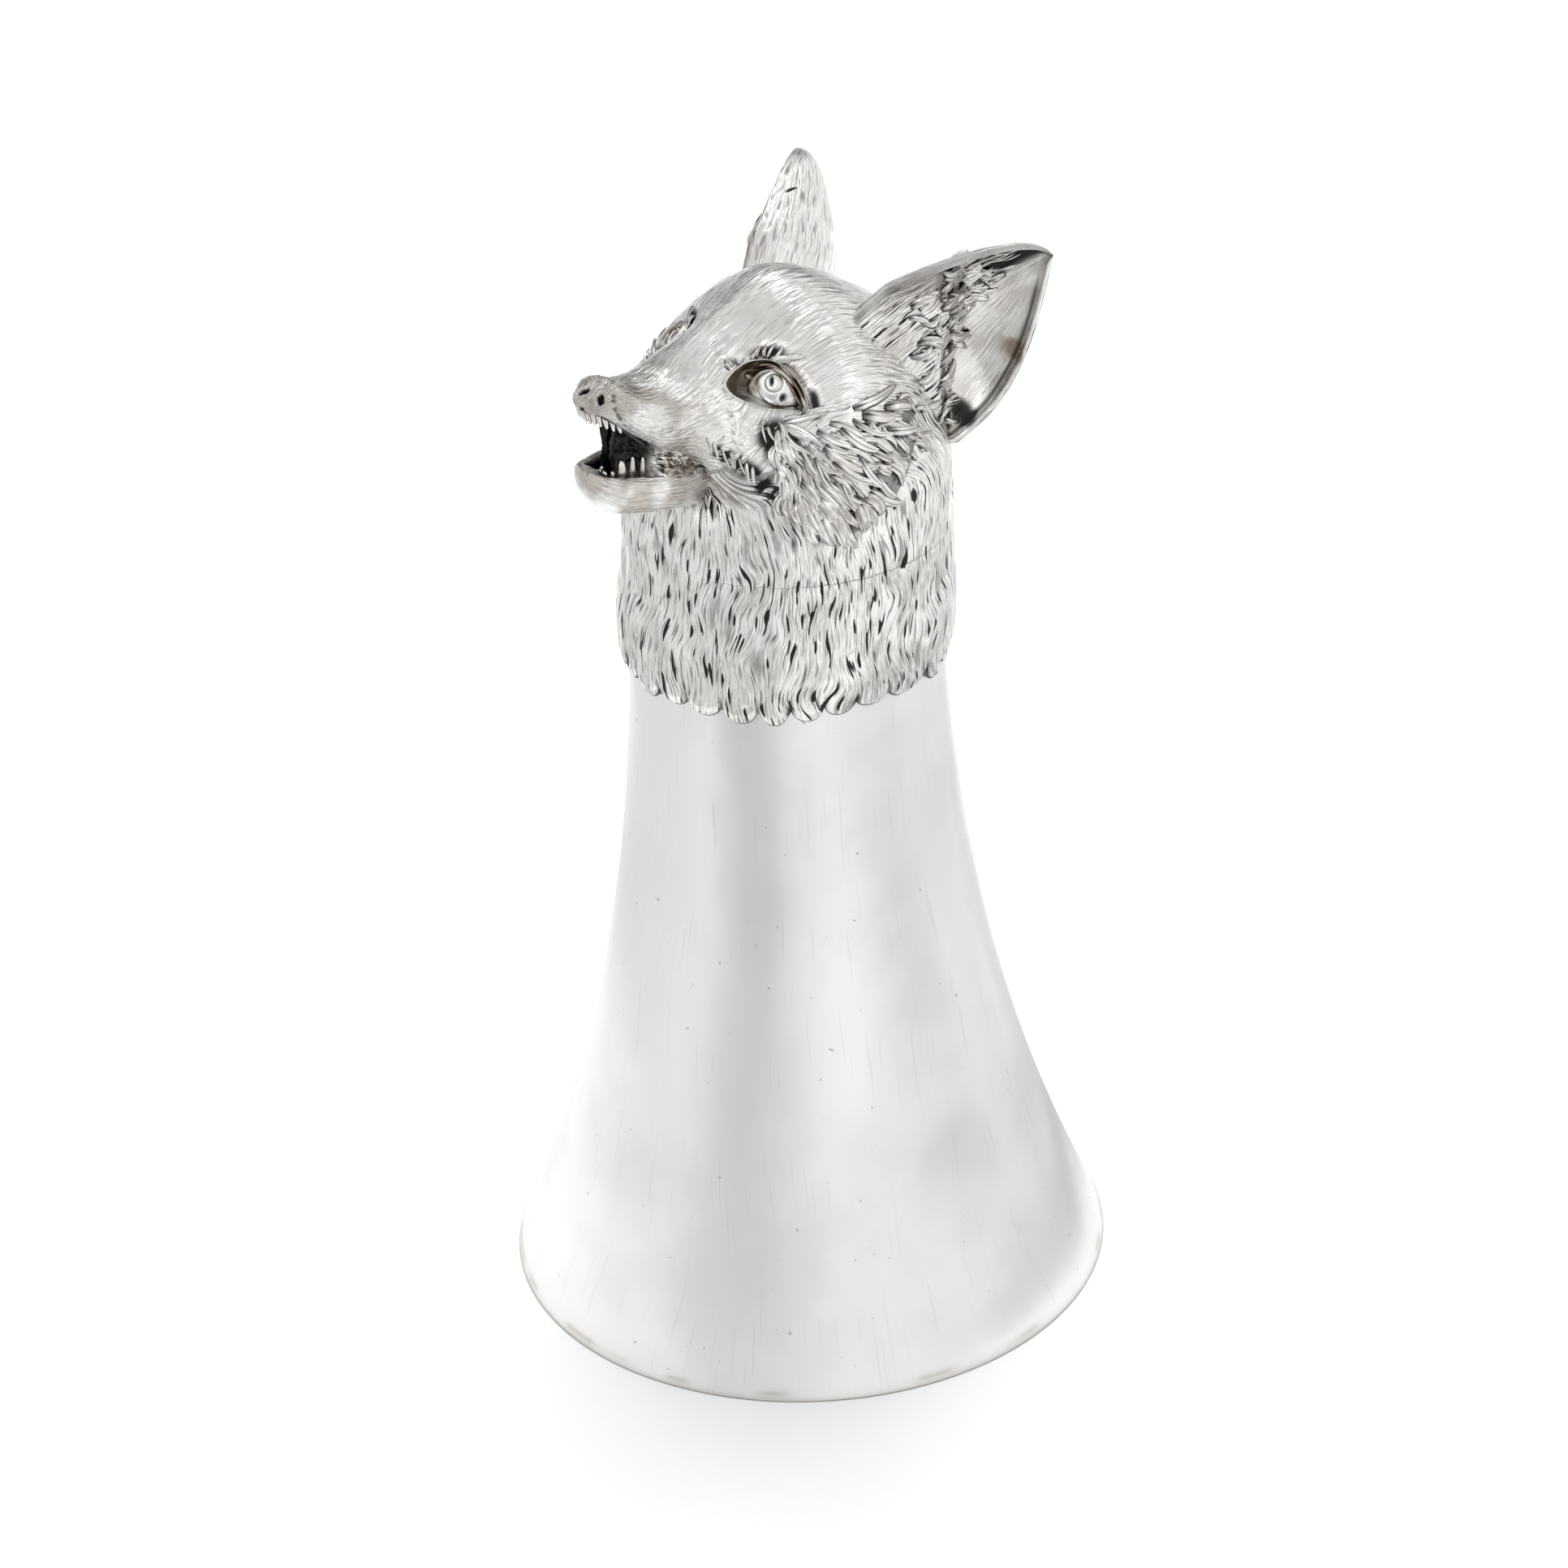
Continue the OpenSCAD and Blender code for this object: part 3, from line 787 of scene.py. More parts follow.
@dataclass
class Head:
    """The fox's head, from the neck joint to the nose, with its cheeks' ruff.

    A group of spots on the skin has a strength, a reach in millimetres and the spots' places.
    """

    silver: bpy.types.Material
    neck_r: float = 20.2
    joint_z: float = 104.0
    rise: float = 31.4
    reach: float = 29.4
    temple: float = 29.0
    muzzle: float = 12.8
    mouth_depth: float = 2.4
    socket_depth: float = 2.4
    hem: float = 0.3
    lap: float = 0.01
    rows: int = 250
    columns: int = 376
    fan_centre: Point = (11.7, -9.4, 123.0)
    nostrils: Group = (1.0, 0.33, ((1.15, -27.25, 128.85), (1.5, -27.4, 128.6), (1.85, -27.55, 128.35)))
    wings: Group = (1.0, 0.36, (
        (2.6, -26.4, 129.2), (3.06, -26.75, 128.7), (3.6, -26.95, 127.9), (3.95, -26.9, 127.2),
        (4.2, -26.76, 126.6), (4.31, -26.4, 125.6)))
    patches: tuple[Group, ...] = (
        (1.6, 1.9, ((12.9, -10.2, 121.3),)), (1.0, 1.1, ((11.0, -11.0, 122.2),)),
        (1.0, 1.3, ((14.9, -9.4, 120.4),)), (1.0, 1.5, ((4.8, -15.6, 114.6), (6.2, -15.4, 112.9))),
        (1.2, 1.0, ((8.6, -15.3, 119.6), (10.4, -13.8, 118.3), (12.1, -12.9, 116.9), (13.6, -12.2, 115.6))))
    under_eye: tuple[Group, ...] = ((1.0, 2.2, ((12.4, -10.5, 121.6),)), (1.0, 1.3, ((14.4, -9.6, 120.6),)))
    whiskers: Group = (1.0, 1.0, (
        (8.4, -15.6, 120.2), (9.8, -14.3, 119.0), (11.2, -13.3, 117.8), (12.6, -12.7, 116.6),
        (13.8, -12.2, 115.6)))
    ruff_rows: tuple[tuple[int, float], ...] = (
        (21, 1.7), (21, 1.5), (20, 1.3), (19, 1.2), (17, 1.0), (14, 0.8))
    ruff_edge: tuple[Point, ...] = (
        (16.6, 6.7, 122.0), (18.5, 5.2, 117.6), (20.0, 2.0, 112.6), (20.0, -1.6, 110.4), (19.3, -4.8, 108.8),
        (18.2, -7.5, 109.1), (16.9, -9.4, 110.1), (15.5, -10.7, 112.2), (13.9, -11.6, 114.7))
    lip: tuple[Point, ...] = (
        (7.6, -17.2, 122.0), (9.0, -15.4, 120.4), (10.6, -13.9, 119.0), (12.4, -12.9, 117.5),
        (14.0, -12.2, 116.2))
    lid: tuple[Point, ...] = (
        (10.4, -11.0, 122.9), (11.6, -10.6, 122.5), (13.0, -10.0, 121.9), (14.6, -9.4, 121.2))
    corner: tuple[Point, ...] = (
        (4.6, -15.6, 114.4), (5.6, -15.5, 113.6), (6.8, -15.4, 112.8), (8.0, -15.0, 112.2))
    u: Array = field(init=False)
    angle: Array = field(init=False)
    stations: Array = field(init=False)
    skin: Array = field(init=False)
    normals: Array = field(init=False)

    def __post_init__(self) -> None:
        """Work out the plain skin once, for the pieces that sit on it."""
        self.u, self.angle = self._rows(), round_angles(-np.pi / 2, self.columns)
        self.stations = curve(self._stations(), self.u)
        self.skin = self._rings(self.stations, self.angle)
        self.normals = grid_normals(self.skin)

    def _stations(self) -> Array:
        """Rings of the head: back and throat rails (forward, up), half width, widest share, roundness.

        Returns:
            One row a ring, with the roundness of its upper and its lower half last.
        """
        n, h, r, t, m = self.neck_r, self.rise, self.reach, self.temple, self.muzzle
        return np.array([
            [-1.00 * n, 0.000 * h, 0.90 * n, 0.000 * h, 1.000 * n, 0.50, 2.00, 2.0],
            [-1.01 * n, 0.226 * h, 0.88 * n, 0.144 * h, 1.000 * n, 0.48, 2.00, 2.0],
            [-0.97 * n, 0.477 * h, 0.83 * n, 0.223 * h, 0.980 * n, 0.44, 2.00, 2.0],
            [-0.79 * n, 0.733 * h, 0.78 * n, 0.271 * h, 0.930 * n, 0.40, 2.00, 2.0],
            [-0.25 * r, 0.925 * h, 0.53 * r, 0.303 * h, 0.565 * t, 0.37, 2.10, 2.0],
            [-0.02 * r, 1.000 * h, 0.52 * r, 0.334 * h, 0.430 * t, 0.33, 1.75, 2.4],
            [0.25 * r, 0.932 * h, 0.53 * r, 0.383 * h, 0.325 * t, 0.25, 1.38, 2.6],
            [0.42 * r, 0.867 * h, 0.56 * r, 0.415 * h, 0.293 * t, 0.36, 1.42, 3.0],
            [0.60 * r, 0.790 * h, 0.63 * r, 0.488 * h, 0.540 * m, 0.42, 1.80, 3.2],
            [0.76 * r, 0.784 * h, 0.75 * r, 0.555 * h, 0.480 * m, 0.46, 2.00, 3.4],
            [0.835 * r, 0.820 * h, 0.870 * r, 0.652 * h, 0.395 * m, 0.48, 2.00, 3.2],
            [0.880 * r, 0.822 * h, 0.955 * r, 0.724 * h, 0.265 * m, 0.50, 2.20, 3.0],
            [0.912 * r, 0.803 * h, 0.985 * r, 0.752 * h, 0.155 * m, 0.50, 2.20, 2.6],
            [0.950 * r, 0.780 * h, 0.958 * r, 0.772 * h, 0.020 * m, 0.50, 2.00, 2.0]])

    def _rows(self) -> Array:
        """Station numbers spaced evenly along the sum of the rails' lengths, closer at the nose.

        Returns:
            One number a row of the skin.
        """
        stations = self._stations()
        u = np.linspace(0, len(stations) - 1, 1600)
        s = curve(stations, u)
        step = np.abs(np.diff(s[:, :2], axis=0)).max(1) + np.abs(np.diff(s[:, 2:4], axis=0)).max(1)
        step = step * (0.75 + 1.25 * ease(9.5, 11.0, u[1:]) + 2.0 * ease(11.6, 12.2, u[1:]))
        length = np.concatenate([[0], np.cumsum(step)])
        return np.interp(np.linspace(0, length[-1], self.rows), length, u)

    def _relief(self) -> list[tuple[Point, float, float]]:
        """Swellings and hollows of the face: place (out, forward, up), reach and height.

        Returns:
            One entry each, in millimetres.
        """
        h, r, t, m = self.rise, self.reach, self.temple, self.muzzle
        return [((0.26 * t, 0.17 * r, 0.850 * h), 0.110 * t, 0.6),
                ((0.33 * t, 0.26 * r, 0.707 * h), 0.131 * t, -1.4),
                ((0.40 * m, 0.84 * r, 0.677 * h), 0.25 * m, 0.5),
                ((0.00 * m, 0.95 * r, 0.810 * h), 0.19 * m, 0.25),
                ((0.40 * t, 0.34 * r, 0.480 * h), 0.145 * t, 1.08),
                ((0.34 * t, 0.47 * r, 0.410 * h), 0.11 * t, 1.08)]

    def _rings(self, s: Array, a: Array) -> Array:
        """Rings of the plain skin.

        A ring is a superellipse between the two rails: out is the half width times a power of the
        cosine, and up is a share of the way between the rails from a power of the sine. The face's
        swellings push out from the ring's middle with a bell curve of the distance.

        Args:
            s: Station rows.
            a: Angles round the ring, 0 at the fox's left and a quarter turn at its back.

        Returns:
            Grid of points.
        """
        ca, sa = np.cos(a)[None], np.sin(a)[None]
        n = np.where(sa >= 0, s[:, 6:7], s[:, 7:8])
        k = s[:, 5:6]
        x = s[:, 4:5] * np.sign(ca) * np.abs(ca) ** (2 / n)
        up = np.abs(sa) ** (2 / n)
        f = np.where(sa >= 0, k + (1 - k) * up, k * (1 - up))
        q = s[:, None, 2:4] + (s[:, 0:2] - s[:, 2:4])[:, None] * f[..., None]
        p = np.stack([x, -q[..., 0], self.joint_z + q[..., 1]], -1)
        mid = np.stack([0 * s[:, 0], -(s[:, 0] + s[:, 2]) / 2,
                        self.joint_z + (s[:, 1] + s[:, 3]) / 2], -1)[:, None]
        at = np.stack([np.abs(p[..., 0]), -p[..., 1], p[..., 2] - self.joint_z], -1)
        push = sum(high * bell(np.linalg.norm(at - place, axis=-1) / wide)
                   for place, wide, high in self._relief())
        return p + push[..., None] * unit(p - mid)

    def settle(self, p: Array) -> tuple[Array, Array]:
        """Nearest points of the skin, with its normals there.

        Args:
            p: Points, one row each.

        Returns:
            Points on the skin and unit normals.
        """
        flat, out = self.skin.reshape(-1, 3), self.normals.reshape(-1, 3)
        near = np.array([np.argmin(((flat - q) ** 2).sum(1)) for q in p])
        return flat[near], out[near]

    def spot(self, place: Point, reach: float) -> Array:
        """Bell curve of the distance to the skin's nearest point and to its twin on the other side.

        Args:
            place: Point near the skin, on the left.
            reach: Distance at which the bell falls to 1/e.

        Returns:
            Grid of 0 to 1.
        """
        middle = self.settle(np.array([place]))[0][0]
        gap = self.skin - middle
        gap[..., 0] = np.abs(self.skin[..., 0]) - abs(middle[0])
        return bell(np.linalg.norm(gap, axis=-1) / reach)

    def spots(self, *groups: Group) -> Array:
        """Sum of all the spots of some groups, each at its strength."""
        return sum(strength * self.spot(place, reach)
                   for strength, reach, places in groups for place in places)

    def _under(self) -> Array:
        """Angle of each column from the middle of the underside."""
        a = self.angle[None] + np.pi / 2
        return np.abs(np.arctan2(np.sin(a), np.cos(a)))

    def _opened(self, roof: Array) -> Array:
        """The plain skin with the mouth's roof pushed up towards the back rail.

        Args:
            roof: Share of the full depth at each point.

        Returns:
            Grid of points.
        """
        p, lift = self.skin.copy(), unit(self.stations[:, :2] - self.stations[:, 2:4])
        p[..., 1] -= self.mouth_depth * roof * lift[:, 0:1]
        p[..., 2] += self.mouth_depth * roof * lift[:, 1:2]
        return p

    def _features(self, eye: "Eye") -> tuple[Array, Features]:
        """Find the parts of the skin.

        The mouth's roof is a patch of the underside. The neck's hair covers what is low, the nape
        and the throat, but not the cheeks. The cleft is a bell across the nose's middle.

        Args:
            eye: An eye, for the sockets.

        Returns:
            The skin with the mouth opened, and its parts.
        """
        # Bounds on u are station numbers, on under radians, and on y, over and radius millimetres.
        u, under = self.u[:, None], self._under()
        roof = (1 - ease(0.40, 0.72, under)) * ease(6.3, 7.4, u) * (1 - ease(10.3, 11.2, u))
        p = self._opened(roof)
        y, over = p[..., 1], p[..., 2] - self.joint_z
        fan = left_half(p) - np.array(self.fan_centre)
        radius, sweep = np.linalg.norm(fan * [0.8, 0.9, 1.0], axis=-1), np.arctan2(fan[..., 2], fan[..., 1])
        cheek = 1 - ease(9.0, 14.0, radius)
        low = 1 - ease(3.0, 12.0, over + 0.35 * np.maximum(0, -y - 4) * ease(0.5, 6.0, over))
        nape = ease(-4.0, 10.0, y) * (1 - ease(14.0, 24.0, over))
        throat = (1 - ease(0.9, 1.4, under)) * (1 - ease(6.2, 7.0, u))
        neck = np.maximum(np.clip(low + 0.8 * nape, 0, 1) * (1 - cheek), throat)
        cleft = bell(p[..., 0] / 0.35) * ease(26.8, 28.2, -y) * (1 - ease(12.15, 12.4, u))
        cleft = cleft * (p[..., 2] < 128.6)
        nostril = np.clip(self.spots(self.nostrils), 0, 1)
        return p, Features(roof, neck, nostril, self.spots(self.wings), cleft, *eye.socket(self.skin),
                           radius, sweep)

    def _marks(self, p: Array, part: Features, crease: Array, combed: Array) -> dict[str, Array]:
        """Strokes, oxide, painted shade on the mouth's roof, and tarnish of the skin.

        Dark streaks are wandering cut off at a level: along the fan's rays on the lower cheek and
        under the eye, and along the slits of the whisker row.

        Args:
            p: Finished points.
            part: The skin's parts.
            crease: How deep in a crease of the neck's hair.
            combed: Share of the lower cheek, combed along the fan.

        Returns:
            The three marks by name.
        """
        u, ray = self.u[:, None], part.sweep
        patch = np.clip(self.spots(*self.patches), 0, 1)
        streak = ease(0.62, 0.40, drift(ray * 11.0, part.radius / 3.2, 21))
        thin = ease(0.76, 0.58, drift(ray * 17.0, part.radius / 2.2, 23))
        left = left_half(p)
        slit = drift(left @ [0.62, 0.51, -0.59] / 0.45, left @ [0.27, 0.53, 0.75] / 2.6, 27)
        below = 1.4 * np.clip(self.spots(*self.under_eye), 0, 1) * thin
        below = below + 1.4 * np.clip(self.spots(self.whiskers), 0, 1) * ease(0.66, 0.50, slit)
        hollow = 0.85 * (crease * part.neck) + 0.25 * patch + 0.6 * combed * streak + below
        hollow = hollow + part.shade + part.sink + 0.7 * part.wing + 1.5 * part.nostril
        # The mouth's roof is painted near black as the shade inside the mouth.
        hollow = hollow + 0.8 * part.cleft + 0.95 * part.roof
        hollow = np.maximum(np.clip(hollow, 0, 1), 0.20 * ease(6.6, 7.6, u))
        lining = self.spot((8.0, -15.5, 118.0), 3.2) * ease(0.0, 0.5, 0.9 - self._under()) + part.roof
        warm = lining + 0.5 * self.spot((8.2, -8.2, 126.0), 3.6) + 0.15 + 0.25 * ease(7.0, 8.5, u)
        smooth_nose = 1 - 0.7 * self.spot((0, -29, 128.5), 1.6)
        strokes = np.clip((1 - part.roof) * (0.55 + 0.25 * part.neck) * smooth_nose, 0, 1)
        return silver_marks(p, strokes + (1 - strokes) * patch, hollow, warm)

    def build(self, fur: WavyHair, eye: "Eye") -> bpy.types.Object:
        """The head's skin with mouth, nostrils, eye sockets and soft neck locks.

        The neck's locks are the same relief that the collar carries. A hem of one more ring laps
        over the collar's top edge.

        Args:
            fur: The neck's locks.
            eye: An eye, for the sockets.

        Returns:
            The head's object.
        """
        u, a = self.u[:, None], self.angle[None]
        p, part = self._features(eye)
        over = p[..., 2] - self.joint_z
        high, crease, locks = fur.relief(a + 0 * u, self.joint_z - p[..., 2])
        step = high * part.neck
        step = step - 0.8 * part.nostril - 0.35 * part.cleft - 0.3 * part.wing - 0.35 * part.shade
        step = step + 0.10 * (drift(a * 22 + 0 * u, u * 7, 3) - 0.5) * (1 - part.neck)
        step = step + self.lap * (1 - ease(0.0, 4.0, over))
        out = levelled(self.normals, (1 - ease(0.0, 1.5, over))[..., None])
        p = p + out * step[..., None]
        look = eye.axes()[1] * np.where(p[..., :1] < 0, [[[-1, 1, 1]]], [[[1, 1, 1]]])
        p = p - self.socket_depth * part.sink[..., None] * look
        combed = ease(-13.0, -10.5, p[..., 1]) * ease(2.5, 5.0, part.radius)
        combed = combed * (1 - ease(13.5, 16.0, part.radius)) * ease(123.5, 119.5, p[..., 2])
        marks = self._marks(p, part, crease, combed)
        along = lengths(self.skin[:, self.columns // 2])[:, None]
        around = self.stations[:, 4:5] * (a - np.pi / 2) + fur.girth * np.pi
        flow = np.stack([around, fur.joint - along + 0 * a], -1)
        flow = np.where((combed > 0.35)[..., None], np.stack([9.0 * part.sweep, part.radius], -1), flow)
        blend = ease(0.2, 0.7, part.neck)[..., None]
        flow = flow * (1 - blend) + locks * blend
        lap, _, lap_flow = fur.relief(a, self.hem + 0 * a)
        hem = self.skin[:1] - [0, 0, self.hem] + out[:1] * (lap + self.lap)[..., None]
        marks = {name: np.concatenate([v[:1], v]) for name, v in marks.items()}
        sheet = Sheet(np.concatenate([hem, p]), np.concatenate([lap_flow, flow]), marks, crisp=True)
        return build_piece("head_casting", [sheet], self.silver, ("head",))

    def ruff(self) -> bpy.types.Object:
        """Tufts of the cheeks in six rows to the ruff's edge, and strays behind them.

        Thinner ones stand along the lip, under the eye's lid and at the mouth's corner.

        Returns:
            One object with the tufts of both sides.
        """
        centre = np.array(self.fan_centre)
        number = np.arange(34)
        loose = np.array([15.4, -1.5, 123.6]) + np.stack(
            [size * share(number, 0, seed) for size, seed in ((3.4, 61), (8.0, 62), (-7.5, 63))], -1)
        jobs = [(Tufts(0.9, 0.45, 1.5, 4, 95, 1.1), loose, loose + [0.4, 2.0, -1.3])]
        for kind, line, count, start, end in (
                (Tufts(0.5, 0.3, 0.6, 3, 91, 0.4), self.corner, 6, (0, 0, 0.8), (0.5, 0.1, -1.9)),
                (Tufts(0.42, 0.28, 0.5, 3, 86, 0.4), self.lid, 6, (0, 0, 0.4), (1.0, 0.5, -2.2)),
                (Tufts(0.5, 0.28, 0.3, 3, 71, 0.25), self.lip, 11, (0, 0, 0.4), (0.65, 0.4, -2.2))):
            at = curve(np.array(line), np.linspace(0, len(line) - 1, count))
            jobs.append((kind, at + start, at + end))
        for row, (count, width) in reversed(list(enumerate(self.ruff_rows))):
            number = np.arange(count)
            t = number + 0.4 + 0.5 * (row % 2) + 0.4 * (share(number, 0, 30 + row) - 0.5)
            ray = curve(np.array(self.ruff_edge), t / (count + 0.5) * (len(self.ruff_edge) - 1)) - centre
            reach = (1.0 - 0.135 * row + 0.10 * (share(number, 0, 40 + row) - 0.5))[:, None]
            kind = Tufts(width, 0.70 - 0.10 * row, 1.7, 5, 50 + row)
            jobs.append((kind, centre + ray * (reach - 0.30), centre + ray * reach))
        sheets: list[Sheet] = []
        for kind, root, rim in jobs:
            (a, out_a), (b, out_b) = self.settle(root), self.settle(rim)
            for side in Side:
                sheets += kind.sheets(side.place(a), side.place(b), side.place(unit(out_a + out_b)))
        return build_piece("cheek_ruff", sheets, self.silver)


@dataclass
class Collar:
    """The neck's collar, whose fringe of hair overlaps the beaker."""

    silver: bpy.types.Material
    beaker: Beaker
    head: Head
    fringe_z: float = 87.4
    tip: float = 1.8
    edge: float = 0.85
    bore: float = 16.6
    gap: float = 0.03
    tuck: float = 0.06
    lobes: int = 28
    rows: int = 150

    def build(self, fur: WavyHair) -> bpy.types.Object:
        """A closed profile carried round: down the outside, round the fringe and up the bore.

        The outside runs from the head's first ring to a circle just outside the beaker. The
        fringe's edge drops in rounded lobes of uneven width.

        Args:
            fur: The neck's locks.

        Returns:
            The collar's object.
        """
        a, joint = self.head.angle, self.head.joint_z
        uneven = 0.9 * (drift(a * 3.1 + 40, 0 * a, 9) - 0.5) * np.cos(0.5 * (a - np.pi / 2))
        place = self.lobes * a / TURN + uneven
        cell, x = np.floor(place), 2 * (place % 1) - 1
        deep = 0.45 + 0.55 * share(cell % self.lobes, 0, 4)
        drop = self.fringe_z + 0.5 - (self.tip + 0.3) * deep * np.clip(1 - np.abs(x) ** 2.4, 0, 1) ** 0.8
        top = self.head.skin[0]
        # s runs from the joint down to the fringe.
        s = np.linspace(0, 1, self.rows)[:, None]
        z = joint + (drop - joint) * s
        low = self.beaker.waist_r + self.edge + 0.4 * np.sin(np.pi * np.minimum(1, 1.2 * (1 - s)))
        m = ease(0, 1, s)
        level = [top[:, k] * (1 - m) + low * way * m for k, way in enumerate((np.cos(a), np.sin(a)))]
        skin = np.stack([*level, z], -1)
        high, crease, locks = fur.relief(a + 0 * z, joint - z)
        end = 1 - ease(0.93, 1.0, s)
        out = levelled(-grid_normals(skin), (1 - ease(0.0, 0.1, s))[..., None])
        tuck = self.tuck * (1 - ease(0.0, 0.02, s))
        skin = skin + out * (high * (0.35 + 0.65 * end) - tuck)[..., None]
        turn = np.linspace(0, 1, 7)[1:, None]
        last = np.linalg.norm(skin[-1, :, :2], axis=-1)
        under_r = last + (self.beaker.radius(drop) + self.gap - last) * turn
        under_z = drop - 0.35 * np.sin(np.pi * turn) * np.ones_like(a)
        floor = self.beaker.height
        inner_z = np.array([floor - 2, floor, floor, floor + 6, joint])[:, None] + 0 * a
        inner_r = np.array([self.beaker.waist_r + self.gap] * 2 + [self.bore] * 3)[:, None] + 0 * a
        rest = np.concatenate([np.stack([r * np.cos(a), r * np.sin(a), z], -1)
                               for r, z in ((under_r, under_z), (inner_r, inner_z))])
        points = np.concatenate([skin, rest])
        # Painted shade: dark in the notches between the fringe's lobes and over the whole underside and bore;
        # the creases' dark is oxide.
        notch = ease(0.72, 1.0, np.abs(x)) * ease(0.84, 0.98, s)
        hollow = np.concatenate([0.85 * crease + 0.8 * notch, 0.8 * np.ones(rest.shape[:2])])
        flow = np.stack([20.0 * a + 0 * points[..., 2], joint - points[..., 2]], -1)
        flow[:len(skin)] = locks
        sheet = Sheet(points, flow, silver_marks(points, 0.8, hollow, 0.2), loop=True, crisp=True)
        return build_piece("neck_collar", [sheet], self.silver, ("neck_ruff",))


@dataclass
class Jaw:
    """The lower jaw with its trough."""

    silver: bpy.types.Material
    head: Head
    chin: Point = (0.0, -29.106, 119.54)
    length: float = 15.0
    depth: float = 5.2
    tilt: float = 8.0
    lip: float = 1.3
    trough: float = 2.6
    widest: float = 0.72

    def half_width(self, q: Array) -> Array:
        """Half width of the mouth: a square root of the distance behind the lip."""
        return 0.5 * self.head.muzzle * np.sqrt(np.maximum(0, q) / self.head.muzzle)

    def slope(self) -> tuple[float, float]:
        """Cosine and sine of the jaw's tilt."""
        return math.cos(math.radians(self.tilt)), math.sin(math.radians(self.tilt))

    def place(self, x: Array, q: Array, v: Any) -> Array:
        """Points from places across the jaw, back along it and up from it."""
        c, s = self.slope()
        return np.stack([x, self.chin[1] + q * c + v * s, self.chin[2] - q * s + v * c], -1)

    def lip_line(self, q: Array, inset: float) -> Array:
        """Points along the left lower lip, a little inside its edge.

        Args:
            q: Distances behind the lip.
            inset: Distance inside the edge.

        Returns:
            One point a row.
        """
        w = (self.half_width(q) + self.lip) * (1 - 0.34 * ease(7.0, 17.0, q)) - inset
        c, s = self.slope()
        return np.stack([w, self.chin[1] + q * c, self.chin[2] - q * s - 0.35], -1)

    def build(self) -> bpy.types.Object:
        """Rings of a superellipse from throat to chin, with the top pressed in as a trough.

        Returns:
            The jaw's object.
        """
        # Bounds on q are millimetres behind the lip, and on inside shares of the way to the middle.
        q = (self.length * (0.004 + 1.26 * np.linspace(1, 0, 120) ** 1.6))[:, None]
        a = round_angles(-np.pi / 2, 180)[None]
        ca, sa = np.cos(a), np.sin(a)
        drop = self.depth * (0.25 + 0.75 * np.minimum(1, 5 * q / self.length) ** 0.5) + 0.1 * q
        w = self.half_width(q) + self.lip * np.minimum(1, 0.3 + q / self.lip)
        w = w * (1 - 0.34 * ease(7.0, 17.0, q))
        n = np.where(sa >= 0, 2.9, 2.2)
        up = np.abs(sa) ** (2 / n)
        x = w * np.sign(ca) * np.abs(ca) ** (2 / n)
        f = np.where(sa >= 0, self.widest + (1 - self.widest) * up, self.widest * (1 - up))
        inside = np.clip(1 - np.abs(x) / np.maximum(w - 0.8 * self.lip, 0.05), 0, 1)
        mouth = (sa > 0.1) * ease(0.0, 0.22, inside) * ease(1.5, 2.8, q) * (1 - ease(11.0, 13.0, q))
        roll = 0.25 * bell((np.abs(x) / np.maximum(w, 0.1) - 0.88) / 0.1) * (sa > 0)
        points = self.place(x, q, drop * (f - 1) - self.trough * mouth + roll)
        flow = np.stack([(w * 0.6 + 2.0) * a, q + 0 * a], -1)
        # Painted shade: the trough is near black, as the shade inside the mouth.
        marks = silver_marks(points, 0.5 * (1 - mouth), 0.95 * mouth, mouth + 0.42)
        sheet = Sheet(points, flow, marks)
        return build_piece("jaw_casting", [sheet], self.silver, ("lower_jaw",))


